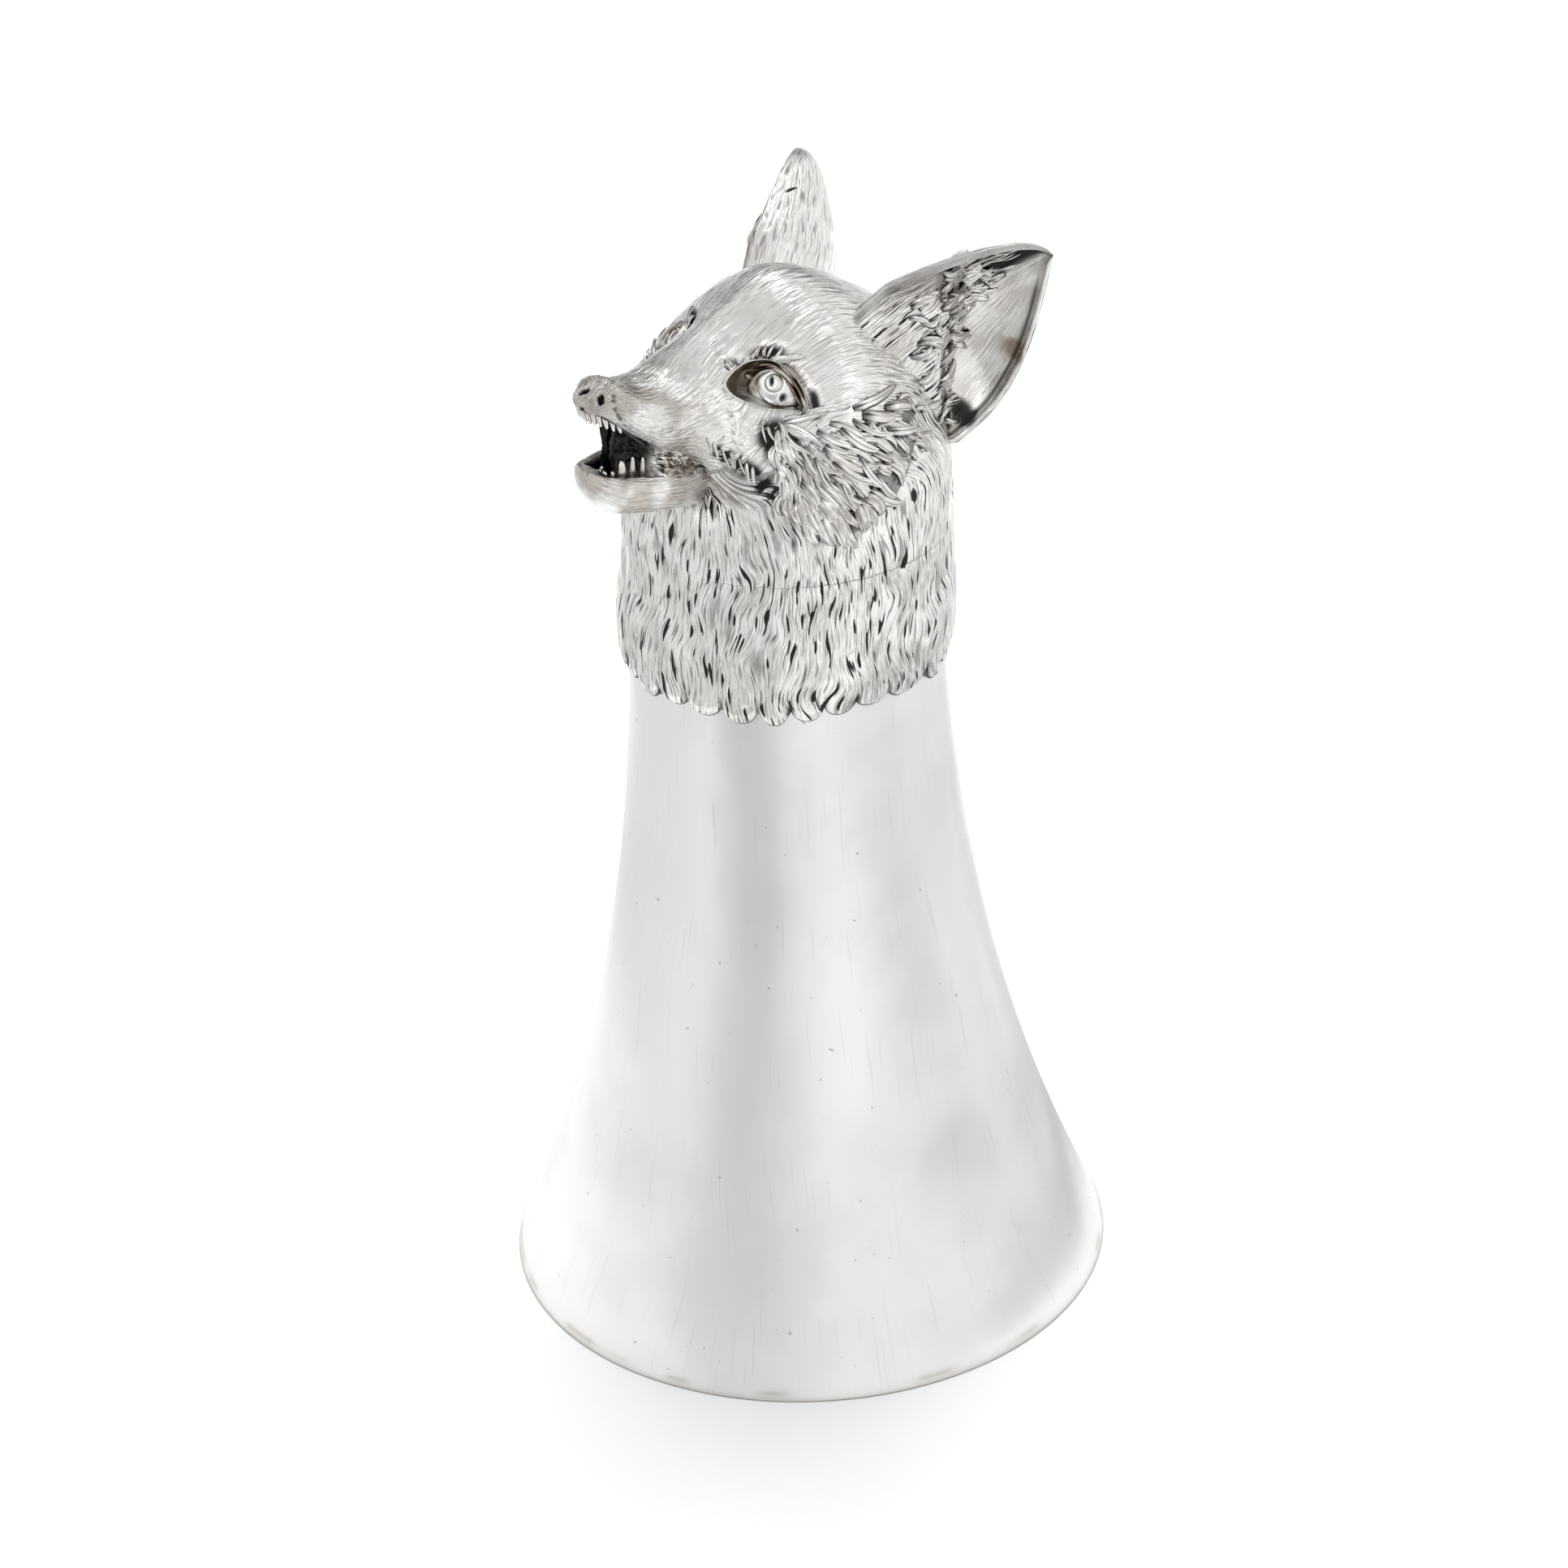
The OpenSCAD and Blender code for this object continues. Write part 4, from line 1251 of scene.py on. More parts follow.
@dataclass
class Lining:
    """The flesh at the sides of the mouth, between the lips."""

    silver: bpy.types.Material
    head: Head
    jaw: Jaw
    lip_angle: float = -54.0
    rows: int = 90
    columns: int = 40

    def build(self) -> bpy.types.Object:
        """A sheet drawn from the upper lip's edge to the lower lip's, with upright folds.

        Each line of the sheet runs straight between the lips and bows inwards as a half sine. Folds
        are two sizes of wandering, and lumps along the lower edge are a power of a cosine.

        Returns:
            One object with the flesh of both sides.
        """
        # s runs from the front of the mouth to its corner, and t from the upper lip to the lower.
        s, t = np.linspace(0, 1, self.rows), np.linspace(0, 1, self.columns)[None]
        col = int(np.argmin(np.abs(self.head.angle - math.radians(self.lip_angle))))
        row = np.interp(10.0 - 4.1 * s, self.head.u, np.arange(len(self.head.u)))
        inset = 1.9 * (1 - ease(0.22, 0.42, s))
        upper = self.head.skin[np.round(row).astype(int), col]
        upper = upper + np.stack([-0.25 - inset, 0.1 + 0 * s, 0.55 + 0 * s], -1)
        lower = self.jaw.lip_line(3.2 + 11.3 * s, 0.75) - np.stack([inset, 0 * s, 0.6 * inset], -1)
        s = s[:, None]
        fold = 0.5 * (drift(s * 30, t * 9, 7) - 0.5) + 0.35 * (drift(s * 70, t * 22, 9) - 0.5)
        lumps = 0.75 * np.abs(np.cos(np.pi * 5.5 * s)) ** 5 * ease(0.5, 0.9, t) * ease(0.25, 0.45, s)
        face = upper[:, None] + (lower - upper)[:, None] * t[..., None]
        face[..., 0] += -0.9 * np.sin(np.pi * t) + fold * np.sin(np.pi * t) ** 0.5 + lumps
        points = np.concatenate([face, face[:, ::-1] - np.array([0.7, -0.1, 0.0])], axis=1)
        # Painted shade: darker in the folds' troughs, lighter on the lumps, and near black at the front deep
        # in the mouth and on the inner side.
        front = 1 - ease(0.24, 0.40, s)
        dark = np.clip(0.16 - 2.0 * fold - 0.5 * lumps, 0.02, 0.9) * (1 - front) + 0.97 * front
        marks = silver_marks(points, 0.0, np.concatenate([dark, 0.97 + 0 * dark], 1), 0.45)
        across = np.linspace(0, 8, 2 * self.columns)[None]
        flow = np.stack([across + 0 * s, 10 * s + 0 * across], -1)
        sheets = [Sheet(side.place(points), flow, marks) for side in Side]
        return build_piece("mouth_lining", sheets, self.silver)


@dataclass
class Ear:
    """One ear: a leaf curled about its axis, with tufts of hair along its inner edge."""

    silver: bpy.types.Material
    side: Side
    face: Point = (0.843, -0.537, 0.010)
    lean: Point = (0.415, 0.665, 0.623)
    tip: Point = (22.3, 24.3, 136.687)
    length: float = 25.0
    width: float = 21.2
    depth: float = 7.6
    thick: float = 1.3
    divide: tuple[Spot, ...] = (
        (0.0, 0.2), (0.32, 1.0), (0.43, 1.9), (0.65, -0.5), (0.80, -4.4), (0.91, -8.5), (1.2, -11.0))

    def hollow(self, t: Array, q: Array, bowl: Array) -> tuple[Array, Array, Array]:
        """The ear's inner surface.

        A shallow bowl on the cheek side of a dividing line, a deep cave on the crown side near the
        tip, and a mound of fur on the crown side near the root, blended with eased steps.

        Args:
            t: Share of the way from tip to root.
            q: Place across, towards the crown edge, in millimetres.
            bowl: Roundness of the bowl, 1 in the middle and 0 at the edges.

        Returns:
            Height towards the opening, the dividing line's place, and the mound's share.
        """
        split = np.interp(t, *np.array(self.divide).T)
        past = q - split
        deep = self.depth * np.sqrt(np.clip(t / 0.62, 0, 1)) * (1 - 0.5 * ease(0.6, 1.0, t))
        depth = deep * (0.52 + 0.30 * ease(-1.5, 1.5, past))
        mound = ease(0.36, 0.60, t) * ease(-0.8, 2.2, past)
        return 0.2 - depth * bowl * (1 - mound) + 1.4 * mound * bowl**0.5, split, mound

    def axes(self) -> tuple[Array, Array, Array]:
        """The way the hollow faces, the way to the tip, and the way to the crown edge.

        Returns:
            Three unit vectors of the left ear.
        """
        n = unit(np.array(self.face))
        e = unit(np.array(self.lean) - np.dot(self.lean, n) * n)
        return n, e, np.cross(n, e)

    def crown_half(self, t: Array) -> Array:
        """Half width towards the crown edge: a square root of the share of the way, up to the widest."""
        return 0.5 * self.width * np.sqrt(np.minimum(1, t / 0.68))

    def _inner_points(self, t: Array, q: Array) -> Array:
        """Points on the inner surface, kept off the tip and the crown edge.

        Args:
            t: Share of the way from tip to root.
            q: Place across in millimetres.

        Returns:
            One point a row, on the left ear.
        """
        n, e, w = self.axes()
        t = np.maximum(t, 0.09)
        half = self.crown_half(t)
        q = np.minimum(q, half - 1.7)
        high = self.hollow(t, q, np.sqrt(np.clip(1 - (q / half) ** 2, 0, 1)))[0]
        return np.array(self.tip) - e * (self.length * t)[:, None] + q[:, None] * w + high[:, None] * n

    def tufts(self) -> bpy.types.Object:
        """Curled tufts over the dividing line, and thin hairs in the cave by the tip.

        Returns:
            The tufts' object.
        """
        out = self.side.place(self.axes()[0])
        sheets: list[Sheet] = []
        for kind, count, span, spread, run in (
                (Tufts(1.15, 0.55, 1.8, 4, 110), 26, (0.38, 0.76), (-0.4, 3.6), (2.4, -1.5)),
                (Tufts(0.9, 0.5, 1.8, 4, 120), 13, (0.32, 0.50), (-0.6, 1.6), (1.8, -1.0)),
                (Tufts(1.15, 0.5, 1.7, 4, 160, 1.0), 40, (0.40, 0.94), (0.6, 8.0), (2.4, -1.3)),
                (Tufts(0.32, 0.30, 0.8, 3, 130, 0.2), 20, (0.22, 0.46), (0.2, 4.2), (4.2, -0.9))):
            i = np.arange(count)
            t = span[0] + (span[1] - span[0]) * (i + 0.6 * share(i, 0, kind.seed)) / count
            split = self.hollow(t, 0 * t, 1 + 0 * t)[1]
            q = split + spread[0] + (spread[1] - spread[0]) * share(i, 0, kind.seed + 7)
            root, tip = self._inner_points(t, q), self._inner_points(t - run[0] / self.length, q + run[1])
            sheets += kind.sheets(self.side.place(root), self.side.place(tip), np.tile(out, (count, 1)))
        return build_piece(f"{self.side.word}_ear_tufts", sheets, self.silver)

    def build(self) -> bpy.types.Object:
        """Rings of an outer half ellipse and an inner one, from root to tip.

        Inside, dark are the cave, the seam along the dividing line, a line by the cheek edge and a
        notch near the root.

        Returns:
            The ear's object.
        """
        n, e, w = self.axes()
        t = (1.15 - 1.145 * np.linspace(0, 1, 130) ** 0.85)[:, None]
        a = np.linspace(-np.pi / 2, np.pi / 2, 120)[None]
        root = 1 - 0.65 * ease(0.93, 1.15, t)
        upper = np.maximum(0.2, self.crown_half(t) * root)
        lower = np.maximum(0.2, 0.5 * self.width * np.sin(np.pi / 2 * np.minimum(1, t / 0.82)) * root)
        deep = np.maximum(0.4, self.depth * np.sqrt(np.minimum(1, t / 0.62)) * root)
        half = np.where(np.sin(a) > 0, upper, lower)
        inset = np.maximum(0.3 * half, half - 0.6 * self.thick)
        q = inset * np.sin(a)
        high, split, mound = self.hollow(t, q, np.cos(a))
        outer = np.stack([half * np.sin(a), -deep * np.cos(a)], -1)
        section = np.concatenate([outer, np.stack([q, high], -1)[:, ::-1]], axis=1)
        middle = np.array(self.tip) - e * self.length * t
        points = self.side.place(middle[:, None] + section[..., :1] * w + section[..., 1:] * n)
        # Bounds on t are shares of the way from tip to root, on past and q millimetres across.
        past = q - split
        cave = ease(-0.4, 0.8, past) * (1 - ease(0.40, 0.52, t)) * ease(0.02, 0.25, np.cos(a))
        seam = bell((past - 0.2) / 0.55) * ease(0.25, 0.4, t)
        rim = bell((q + inset - 0.42) / 0.22) * ease(0.08, 0.2, t) * (np.sin(a) < 0)
        notch = bell(((t - 0.83) / 0.055) ** 2 + ((q + 8.4) / 1.7) ** 2)
        stain = np.exp(-(((t - 0.44) / 0.04) ** 2 + ((q + 6.9) / 1.3) ** 2))

        def both(outside: float, inside: Array) -> Array:
            """A mark over the whole ring from those of its two halves."""
            return np.concatenate([outside + 0 * q, inside[:, ::-1]], axis=1)

        marks = silver_marks(points, both(0.62, 0.30 + 0.5 * mound),
                             both(0.0, 0.92 * cave + 0.75 * seam + 0.75 * rim + notch),
                             both(0.15, 0.3 + 0.6 * seam + stain))
        around = np.concatenate([9.0 * a, 9.0 * a[:, ::-1] + 40.0], axis=1)
        flow = np.stack([around + 0 * t, self.length * t + 0 * around], -1)
        name = self.side.word
        return build_piece(f"{name}_ear_casting", [Sheet(points, flow, marks)], self.silver,
                           (f"{name}_ear",))


@dataclass
class Eye:
    """One eye with its lids and lashes, drawn in a plane that faces the way the eye looks.

    Places in the plane are millimetres towards the outer side and up, from the eye's middle. The
    lids' inner and outer edges are closed curves through matching points, from the outer corner over
    the top. Folds give the lids' height at nine places across, at the corner, above, on the nose's
    side and below; shades give how dark each of these is, and kinds say which row each point takes.
    """

    silver: bpy.types.Material
    dark: bpy.types.Material
    side: Side
    head: Head
    look: Point = (0.55, -0.67, 0.50)
    run: Point = (0.657, 0.754, -0.037)
    ball_r: float = 4.1
    inner: tuple[Spot, ...] = (
        (2.28, -2.17), (1.93, -0.88), (1.30, 0.25), (0.45, 1.05), (-0.56, 1.52), (-1.41, 1.33), (-2.00, 0.82),
        (-2.21, 0.20), (-2.11, -0.42), (-1.72, -1.11), (-1.02, -1.76), (-0.09, -2.28), (0.91, -2.40),
        (1.76, -2.35))
    outer: tuple[Spot, ...] = (
        (3.98, -3.10), (3.58, -1.11), (2.69, 0.51), (1.30, 2.01), (-0.33, 2.94), (-1.95, 3.07), (-3.50, 2.72),
        (-4.89, 1.67), (-5.71, 0.28), (-5.05, -0.99), (-3.34, -1.97), (-1.41, -2.62), (0.60, -2.86),
        (2.62, -3.05))
    kinds: tuple[int, ...] = (0, 1, 1, 1, 1, 1, 2, 2, 2, 2, 3, 3, 3, 3)
    places: tuple[float, ...] = (0.0, 0.12, 0.25, 0.40, 0.55, 0.70, 0.85, 0.96, 1.10)
    folds: tuple[tuple[float, ...], ...] = (
        (-0.4, 0.1, 0.0, -0.2, 0.1, 0.1, 0.1, 0.3, -0.5),
        (-0.4, 0.35, 0.25, -0.25, 0.35, 0.25, 0.1, 0.6, -0.5),
        (-0.4, 0.3, 0.1, -0.5, -0.7, -0.6, -0.1, 0.6, -0.4),
        (-0.4, 0.1, 0.0, -0.2, -0.1, 0.1, 0.35, 0.5, -0.4))
    shades: tuple[tuple[float, ...], ...] = (
        (1.0, 0.8, 0.5, 0.7, 0.4, 0.4, 0.5, 0.1, 0.9), (0.95, 0.25, 0.2, 0.9, 0.2, 0.3, 0.8, 0.0, 0.5),
        (0.95, 0.3, 0.45, 0.7, 0.75, 0.7, 0.6, 0.0, 0.1), (1.0, 0.9, 0.5, 0.5, 0.4, 0.3, 0.1, 0.0, 0.1))
    lash_feet: tuple[Spot, ...] = (
        (-2.9, 3.1), (-2.2, 3.2), (-1.5, 3.25), (-0.9, 3.2), (-0.3, 3.1), (-3.6, 2.9), (-4.2, 2.6),
        (-4.7, 2.2), (-5.2, 1.7))
    lash_tips: tuple[Spot, ...] = (
        (-2.6, 4.2), (-1.9, 4.6), (-1.1, 4.8), (-0.3, 4.6), (0.7, 4.3), (-3.8, 3.7), (-4.6, 3.4), (-5.3, 3.0),
        (-6.0, 2.4))

    def axes(self) -> tuple[Array, Array, Array, Array]:
        """The eye's middle, the way it looks, the way to its outer side, and the way up.

        Returns:
            A point and three unit vectors of the left eye.
        """
        d = unit(np.array(self.look))
        at = np.array([0.314 * self.head.temple, -0.258 * self.head.reach,
                       self.head.joint_z + 0.707 * self.head.rise]) + 0.2 * self.ball_r * d
        u = unit(np.array(self.run) - np.dot(self.run, d) * d)
        return at, d, u, np.cross(d, u)

    def plane(self, places: Any) -> Array:
        """Points in space of places in the eye's plane.

        Args:
            places: Pairs along the last axis.

        Returns:
            Points of the left eye along the last axis.
        """
        at, _, u, v = self.axes()
        flat = np.array(places)
        return at + flat[..., :1] * u + flat[..., 1:] * v

    def back(self) -> float:
        """Distance from the ball's middle to the eye's plane."""
        return 0.975 * self.ball_r + 0.25

    def closed(self, rows: tuple[tuple[float, ...], ...], count: int) -> Array:
        """A closed smooth curve through rows of numbers.

        Args:
            rows: Rows to pass through.
            count: Places on the curve.

        Returns:
            One row a place.
        """
        table = np.array(rows)
        table = np.concatenate([table[-1:], table, table[:2]])
        return curve(table, 1 + np.linspace(0, len(rows), count, endpoint=False))

    def socket(self, p: Array) -> tuple[Array, Array]:
        """The socket on the head's skin.

        Inside the lids' outer edge the skin sinks. Round it lie dark patches: bells above the lid,
        on the nose's side and behind the outer corner, and a line along the lid's outer side.

        Args:
            p: Points of the skin.

        Returns:
            Share of the sinking, and how dark the skin is.
        """
        at, d, u, v = self.axes()
        # x and y are places in the eye's plane, and out is a share of the way to the lids' edge.
        rel = left_half(p) - at
        x, y, near = rel @ u, rel @ v, np.abs(rel @ d) < 5.0
        edge = self.closed(self.outer, 240) - [-0.8, 0.0]
        turn = np.arctan2(edge[:, 1], edge[:, 0])
        order = np.argsort(turn)
        angle = np.arctan2(y, x + 0.8)
        limit = np.interp(angle, turn[order], np.linalg.norm(edge, axis=1)[order], period=TURN)
        out = np.hypot(x + 0.8, y) / limit
        above = 1.2 * np.exp(-((x + 0.85) / 2.1) ** 2 - ((y - 3.95) / 0.75) ** 2)
        nose = 0.7 * np.exp(-((x + 4.9 + 0.6 * (y - 2.8)) / 0.9) ** 2 - ((y - 2.8) / 0.6) ** 2)
        corner = 1.2 * np.exp(-((x - 4.6 + 0.22 * (y + 2.0)) / 0.62) ** 2 - ((y + 2.1) / 1.7) ** 4)
        line = 0.8 * bell((out - 1.10) / 0.07) * ease(-0.3, 0.1, angle) * (1 - ease(0.8, 1.2, angle))
        return (1 - ease(0.72, 0.97, out)) * near, np.clip(above + nose + corner + line, 0, 1) * near

    def ball(self) -> bpy.types.Object:
        """A cap of a sphere: the iris is a grey disc in a ring groove, the pupil an upright pit.

        Returns:
            The eyeball's object, with a dark wedge by its outer corner.
        """
        at, d, u, v = self.axes()
        psi = (np.linspace(0.003, 1.0, 80) * 1.25)[:, None]
        b = round_angles(0, 140)[None]
        x, y = self.ball_r * np.sin(psi) * np.cos(b), self.ball_r * np.sin(psi) * np.sin(b)
        out = np.hypot(x + 0.17, y - 0.28)
        ring = bell((out - 1.10) / 0.12)
        pupil = np.exp(-(((x + 0.42) / 0.26) ** 2 + ((y - 0.55) / 0.62) ** 2) ** 1.5)
        wedge = np.exp(-(((x - 0.84 - 0.3 * (y + 1.5)) / 0.42) ** 2 + ((y + 1.5) / 0.55) ** 2) ** 1.5)
        r = self.ball_r - 0.10 * ring - 0.22 * pupil - 0.25 * wedge
        parts = ((r * np.sin(psi) * np.cos(b), u), (r * np.sin(psi) * np.sin(b), v), (r * np.cos(psi), d))
        points = self.side.place(at - self.back() * d + sum(size[..., None] * way for size, way in parts))
        hollow = 0.22 * (1 - ease(0.95, 1.1, out)) + 0.55 * ring + 0.9 * pupil + wedge
        flow = np.stack([2.0 * b + 0 * psi, 4 * psi + 0 * b], -1)
        sheet = Sheet(points, flow, silver_marks(points, 0.0, hollow, 0.2 + 0.5 * ease(1.8, 2.8, out)))
        name = self.side.word
        return build_piece(f"{name}_eyeball", [sheet], self.dark, (f"{name}_eye",))

    def _skin_height(self, edge: Array) -> Array:
        """Height of the head's skin over the eye's plane along a closed edge, smoothed.

        Args:
            edge: Places in the plane.

        Returns:
            One height a place, in millimetres.
        """
        at, d, u, v = self.axes()
        skin, n = self.head.skin.reshape(-1, 3), self.head.normals.reshape(-1, 3)
        rel = skin[(n @ d > 0.1) & (np.linalg.norm(skin - at, axis=1) < 9)] - at
        spots = np.stack([rel @ u, rel @ v], -1)
        pick = np.argmin(((spots[None] - edge[:, None]) ** 2).sum(-1), axis=1)
        return smoothed_ring((rel @ d)[pick], 6)

    def _band(self, count: int = 300) -> Sheet:
        """The lids: a band carried round the eye, from the ball's edge to the skin.

        Its height goes from the ball's to the skin's with an eased step, plus the folds. A small
        nodule stands in the corner on the nose's side.

        Args:
            count: Places round the eye.

        Returns:
            The band's sheet.
        """
        d = self.axes()[1]
        inner, outer = self.closed(self.inner, count), self.closed(self.outer, count)
        across = np.linspace(0, len(self.places) - 1, 57)
        place = curve(np.array(self.places)[:, None], across).T
        fold, shade = (curve(self.closed(tuple(rows[k] for k in self.kinds), count).T, across).T
                       for rows in (self.folds, self.shades))
        flat = inner[:, None] + (outer - inner)[:, None] * place[..., None]
        nodule = np.exp(-((flat[..., 0] + 3.34) ** 2 + (flat[..., 1] - 1.25) ** 2) / 0.2)
        ball_h = np.sqrt(self.ball_r**2 - (inner**2).sum(1)) - self.back()
        rise = self._skin_height(outer) - ball_h
        base = ball_h[:, None] + rise[:, None] * ease(0.0, 1.0, place)
        top = self.plane(flat) + (base + fold + 0.55 * nodule)[..., None] * d
        low = (self.plane(flat) + (base - 1.6)[..., None] * d)[:, -2:0:-1]
        points = self.side.place(np.concatenate([top, low], axis=1))
        hidden = np.ones(low.shape[:2])
        hollow = np.concatenate([np.clip(0.92 * shade - 0.5 * nodule, 0, 0.95), hidden], axis=1)
        warm = np.concatenate([1.0 - 0.9 * ease(0.8, 0.95, place) + 0 * shade, hidden], axis=1)
        length = np.linspace(0, 6, points.shape[1])[None] + np.zeros((count, 1))
        flow = np.stack([length, np.linspace(0, 25, count)[:, None] + 0 * length], -1)
        return Sheet(points, flow, silver_marks(points, 0.1, hollow, warm), loop=True)

    def lids(self) -> bpy.types.Object:
        """The lids' band, the lashes above it and one thick tuft over the brow.

        Returns:
            The lids' object.
        """
        sheets = [self._band()]
        for kind, feet, tips in ((Tufts(0.42, 0.25, 0.3, 2, 140, 0.2), self.lash_feet, self.lash_tips),
                                 (Tufts(0.9, 0.25, 0.3, 3, 150, 0.1), ((-0.6, 3.1),), ((3.6, 3.5),))):
            (root, out_a), (tip, out_b) = (self.head.settle(self.plane(ends)) for ends in (feet, tips))
            sheets += kind.sheets(*(self.side.place(v) for v in (root, tip, unit(out_a + out_b))))
        return build_piece(f"{self.side.word}_eyelids", sheets, self.silver)


@dataclass
class Teeth:
    """One row of teeth on its gum.

    Behind the front teeth, each tooth has a place after them, a width and a height.
    """

    dark: bpy.types.Material
    row: Row
    jaw: Jaw
    incisor_d: float = 0.92
    gum_h: float = 1.1
    upper_rest: tuple[Point, ...] = ((0.5, 0.9, 2.0), (1.5, 0.8, 1.7), (2.5, 0.8, 1.3))
    lower_rest: tuple[Point, ...] = ((0.5, 1.5, 3.2), (1.85, 0.9, 3.6), (3.1, 0.85, 3.5), (4.4, 1.0, 2.9))

    def line(self) -> tuple[Array, Array]:
        """The left half of the row's line, and the way that the teeth grow.

        The upper row follows the lip's edge: round the front ring, then back along its side. The
        lower row is a horseshoe in the jaw's trough.

        Returns:
            Points from the middle to the back, and a unit vector.
        """
        head, jaw = self.jaw.head, self.jaw
        if self.row is Row.UPPER:
            row, back = (int(np.argmin(np.abs(head.u - u))) for u in (12.0, 9.4))
            col = int(np.argmin(np.abs(head.angle - math.radians(-46.0))))
            edge = np.concatenate([head.skin[row, :col], head.skin[row:back:-1, col]])
            return edge, unit(np.array([0, 0.12, -1.0]))
        q = np.linspace(0, 1, 200) ** 2 * 9.6
        x = np.maximum(0, jaw.half_width(q) - 0.75 * ease(0.0, 0.9, q))
        c, s = jaw.slope()
        return jaw.place(x, jaw.lip + 0.3 + q, 0.5 * self.gum_h - jaw.trough), np.array([0, s, c])

    def build(self) -> bpy.types.Object:
        """Cones with rounded tips along the row's line, on a bar for the gum.

        Returns:
            The row's object.
        """
        upper = self.row is Row.UPPER
        rest = np.array(self.upper_rest if upper else self.lower_rest)
        facing, front_w, front_h = (1, 0.74, 2.2) if upper else (-1, 0.85, 1.8)
        sunk, thick = (0.62, 0.32) if upper else (0.0, 0.6)
        path, grow = self.line()
        run = unit(np.gradient(path, axis=0))
        inward = np.cross(run, grow) * facing
        at = np.concatenate([(np.arange(3) + 0.5) * self.incisor_d, 3 * self.incisor_d + rest[:, 0]])
        wide = np.concatenate([np.full(3, front_w * self.incisor_d), rest[:, 1]])[:, None, None]
        tall = np.concatenate([np.full(3, front_h), rest[:, 2]])[:, None, None]
        blunt = np.array([9.0] * 3 + [2.6] * len(rest))[:, None, None]
        arc = lengths(path)
        root, side, deep = (np.stack([np.interp(at, arc, v[:, k]) for k in range(3)], -1)[:, None, None]
                            for v in (path, run, inward))
        s = np.linspace(0, 1, 16)[None, :, None]
        b = round_angles(0, 20)[None, None]
        r = 0.5 * wide * np.sqrt(np.clip(1.02 - s**blunt, 0, 1)) * (1 - 0.15 * s)
        cones = (root + side * (r * np.cos(b))[..., None] + grow * (tall * s + 0 * b)[..., None]
                 + deep * (0.40 + 0.8 * r * np.sin(b) + 0.10 * tall * s**2)[..., None])
        # Painted shade: each tooth darkens towards its foot, where it meets the gum.
        foot = 0.10 + 0.85 * (1 - ease(0.12, 0.34, s[0]))
        turn = round_angles(0, 16)[None, :, None]
        bar = path[:, None] + inward[:, None] * (0.8 + thick * np.cos(turn))
        bar = bar + grow * (sunk + thick * np.sin(turn))
        sheets: list[Sheet] = []
        for way in Side:
            sheets += [self._sheet(way.place(cone), foot) for cone in cones]
            # The gum bar is painted near black as the shade behind and between the teeth.
            sheets.append(self._sheet(way.place(bar), 0.85))
        name = self.row.value
        return build_piece(f"{name}_teeth_row", sheets, self.dark, (f"{name}_teeth",))

    def _sheet(self, p: Array, hollow: Any) -> Sheet:
        """A part of the row, darkened by an amount of painted shade.

        Args:
            p: Grid of points.
            hollow: How dark with oxide.

        Returns:
            hollow: How dark with painted shade.
        """
        rows, cols = p.shape[:2]
        flow = np.stack(np.meshgrid(np.arange(cols) * 0.1, np.arange(rows) * 0.1), -1)
        return Sheet(p, flow, silver_marks(p, 0.0, hollow, 0.3))


@dataclass(frozen=True)
class Card:
    """A grey card that only reflections see.

    The sector is its first and last angle from the camera's azimuth, in degrees. The profile gives
    distances from the cup's axis and heights, in metres. Over the faded share of the sector the card
    pales to white at both sides.
    """

    name: str
    sector: Spot
    profile: tuple[Spot, ...]
    tone: float
    fade: float = 0.5


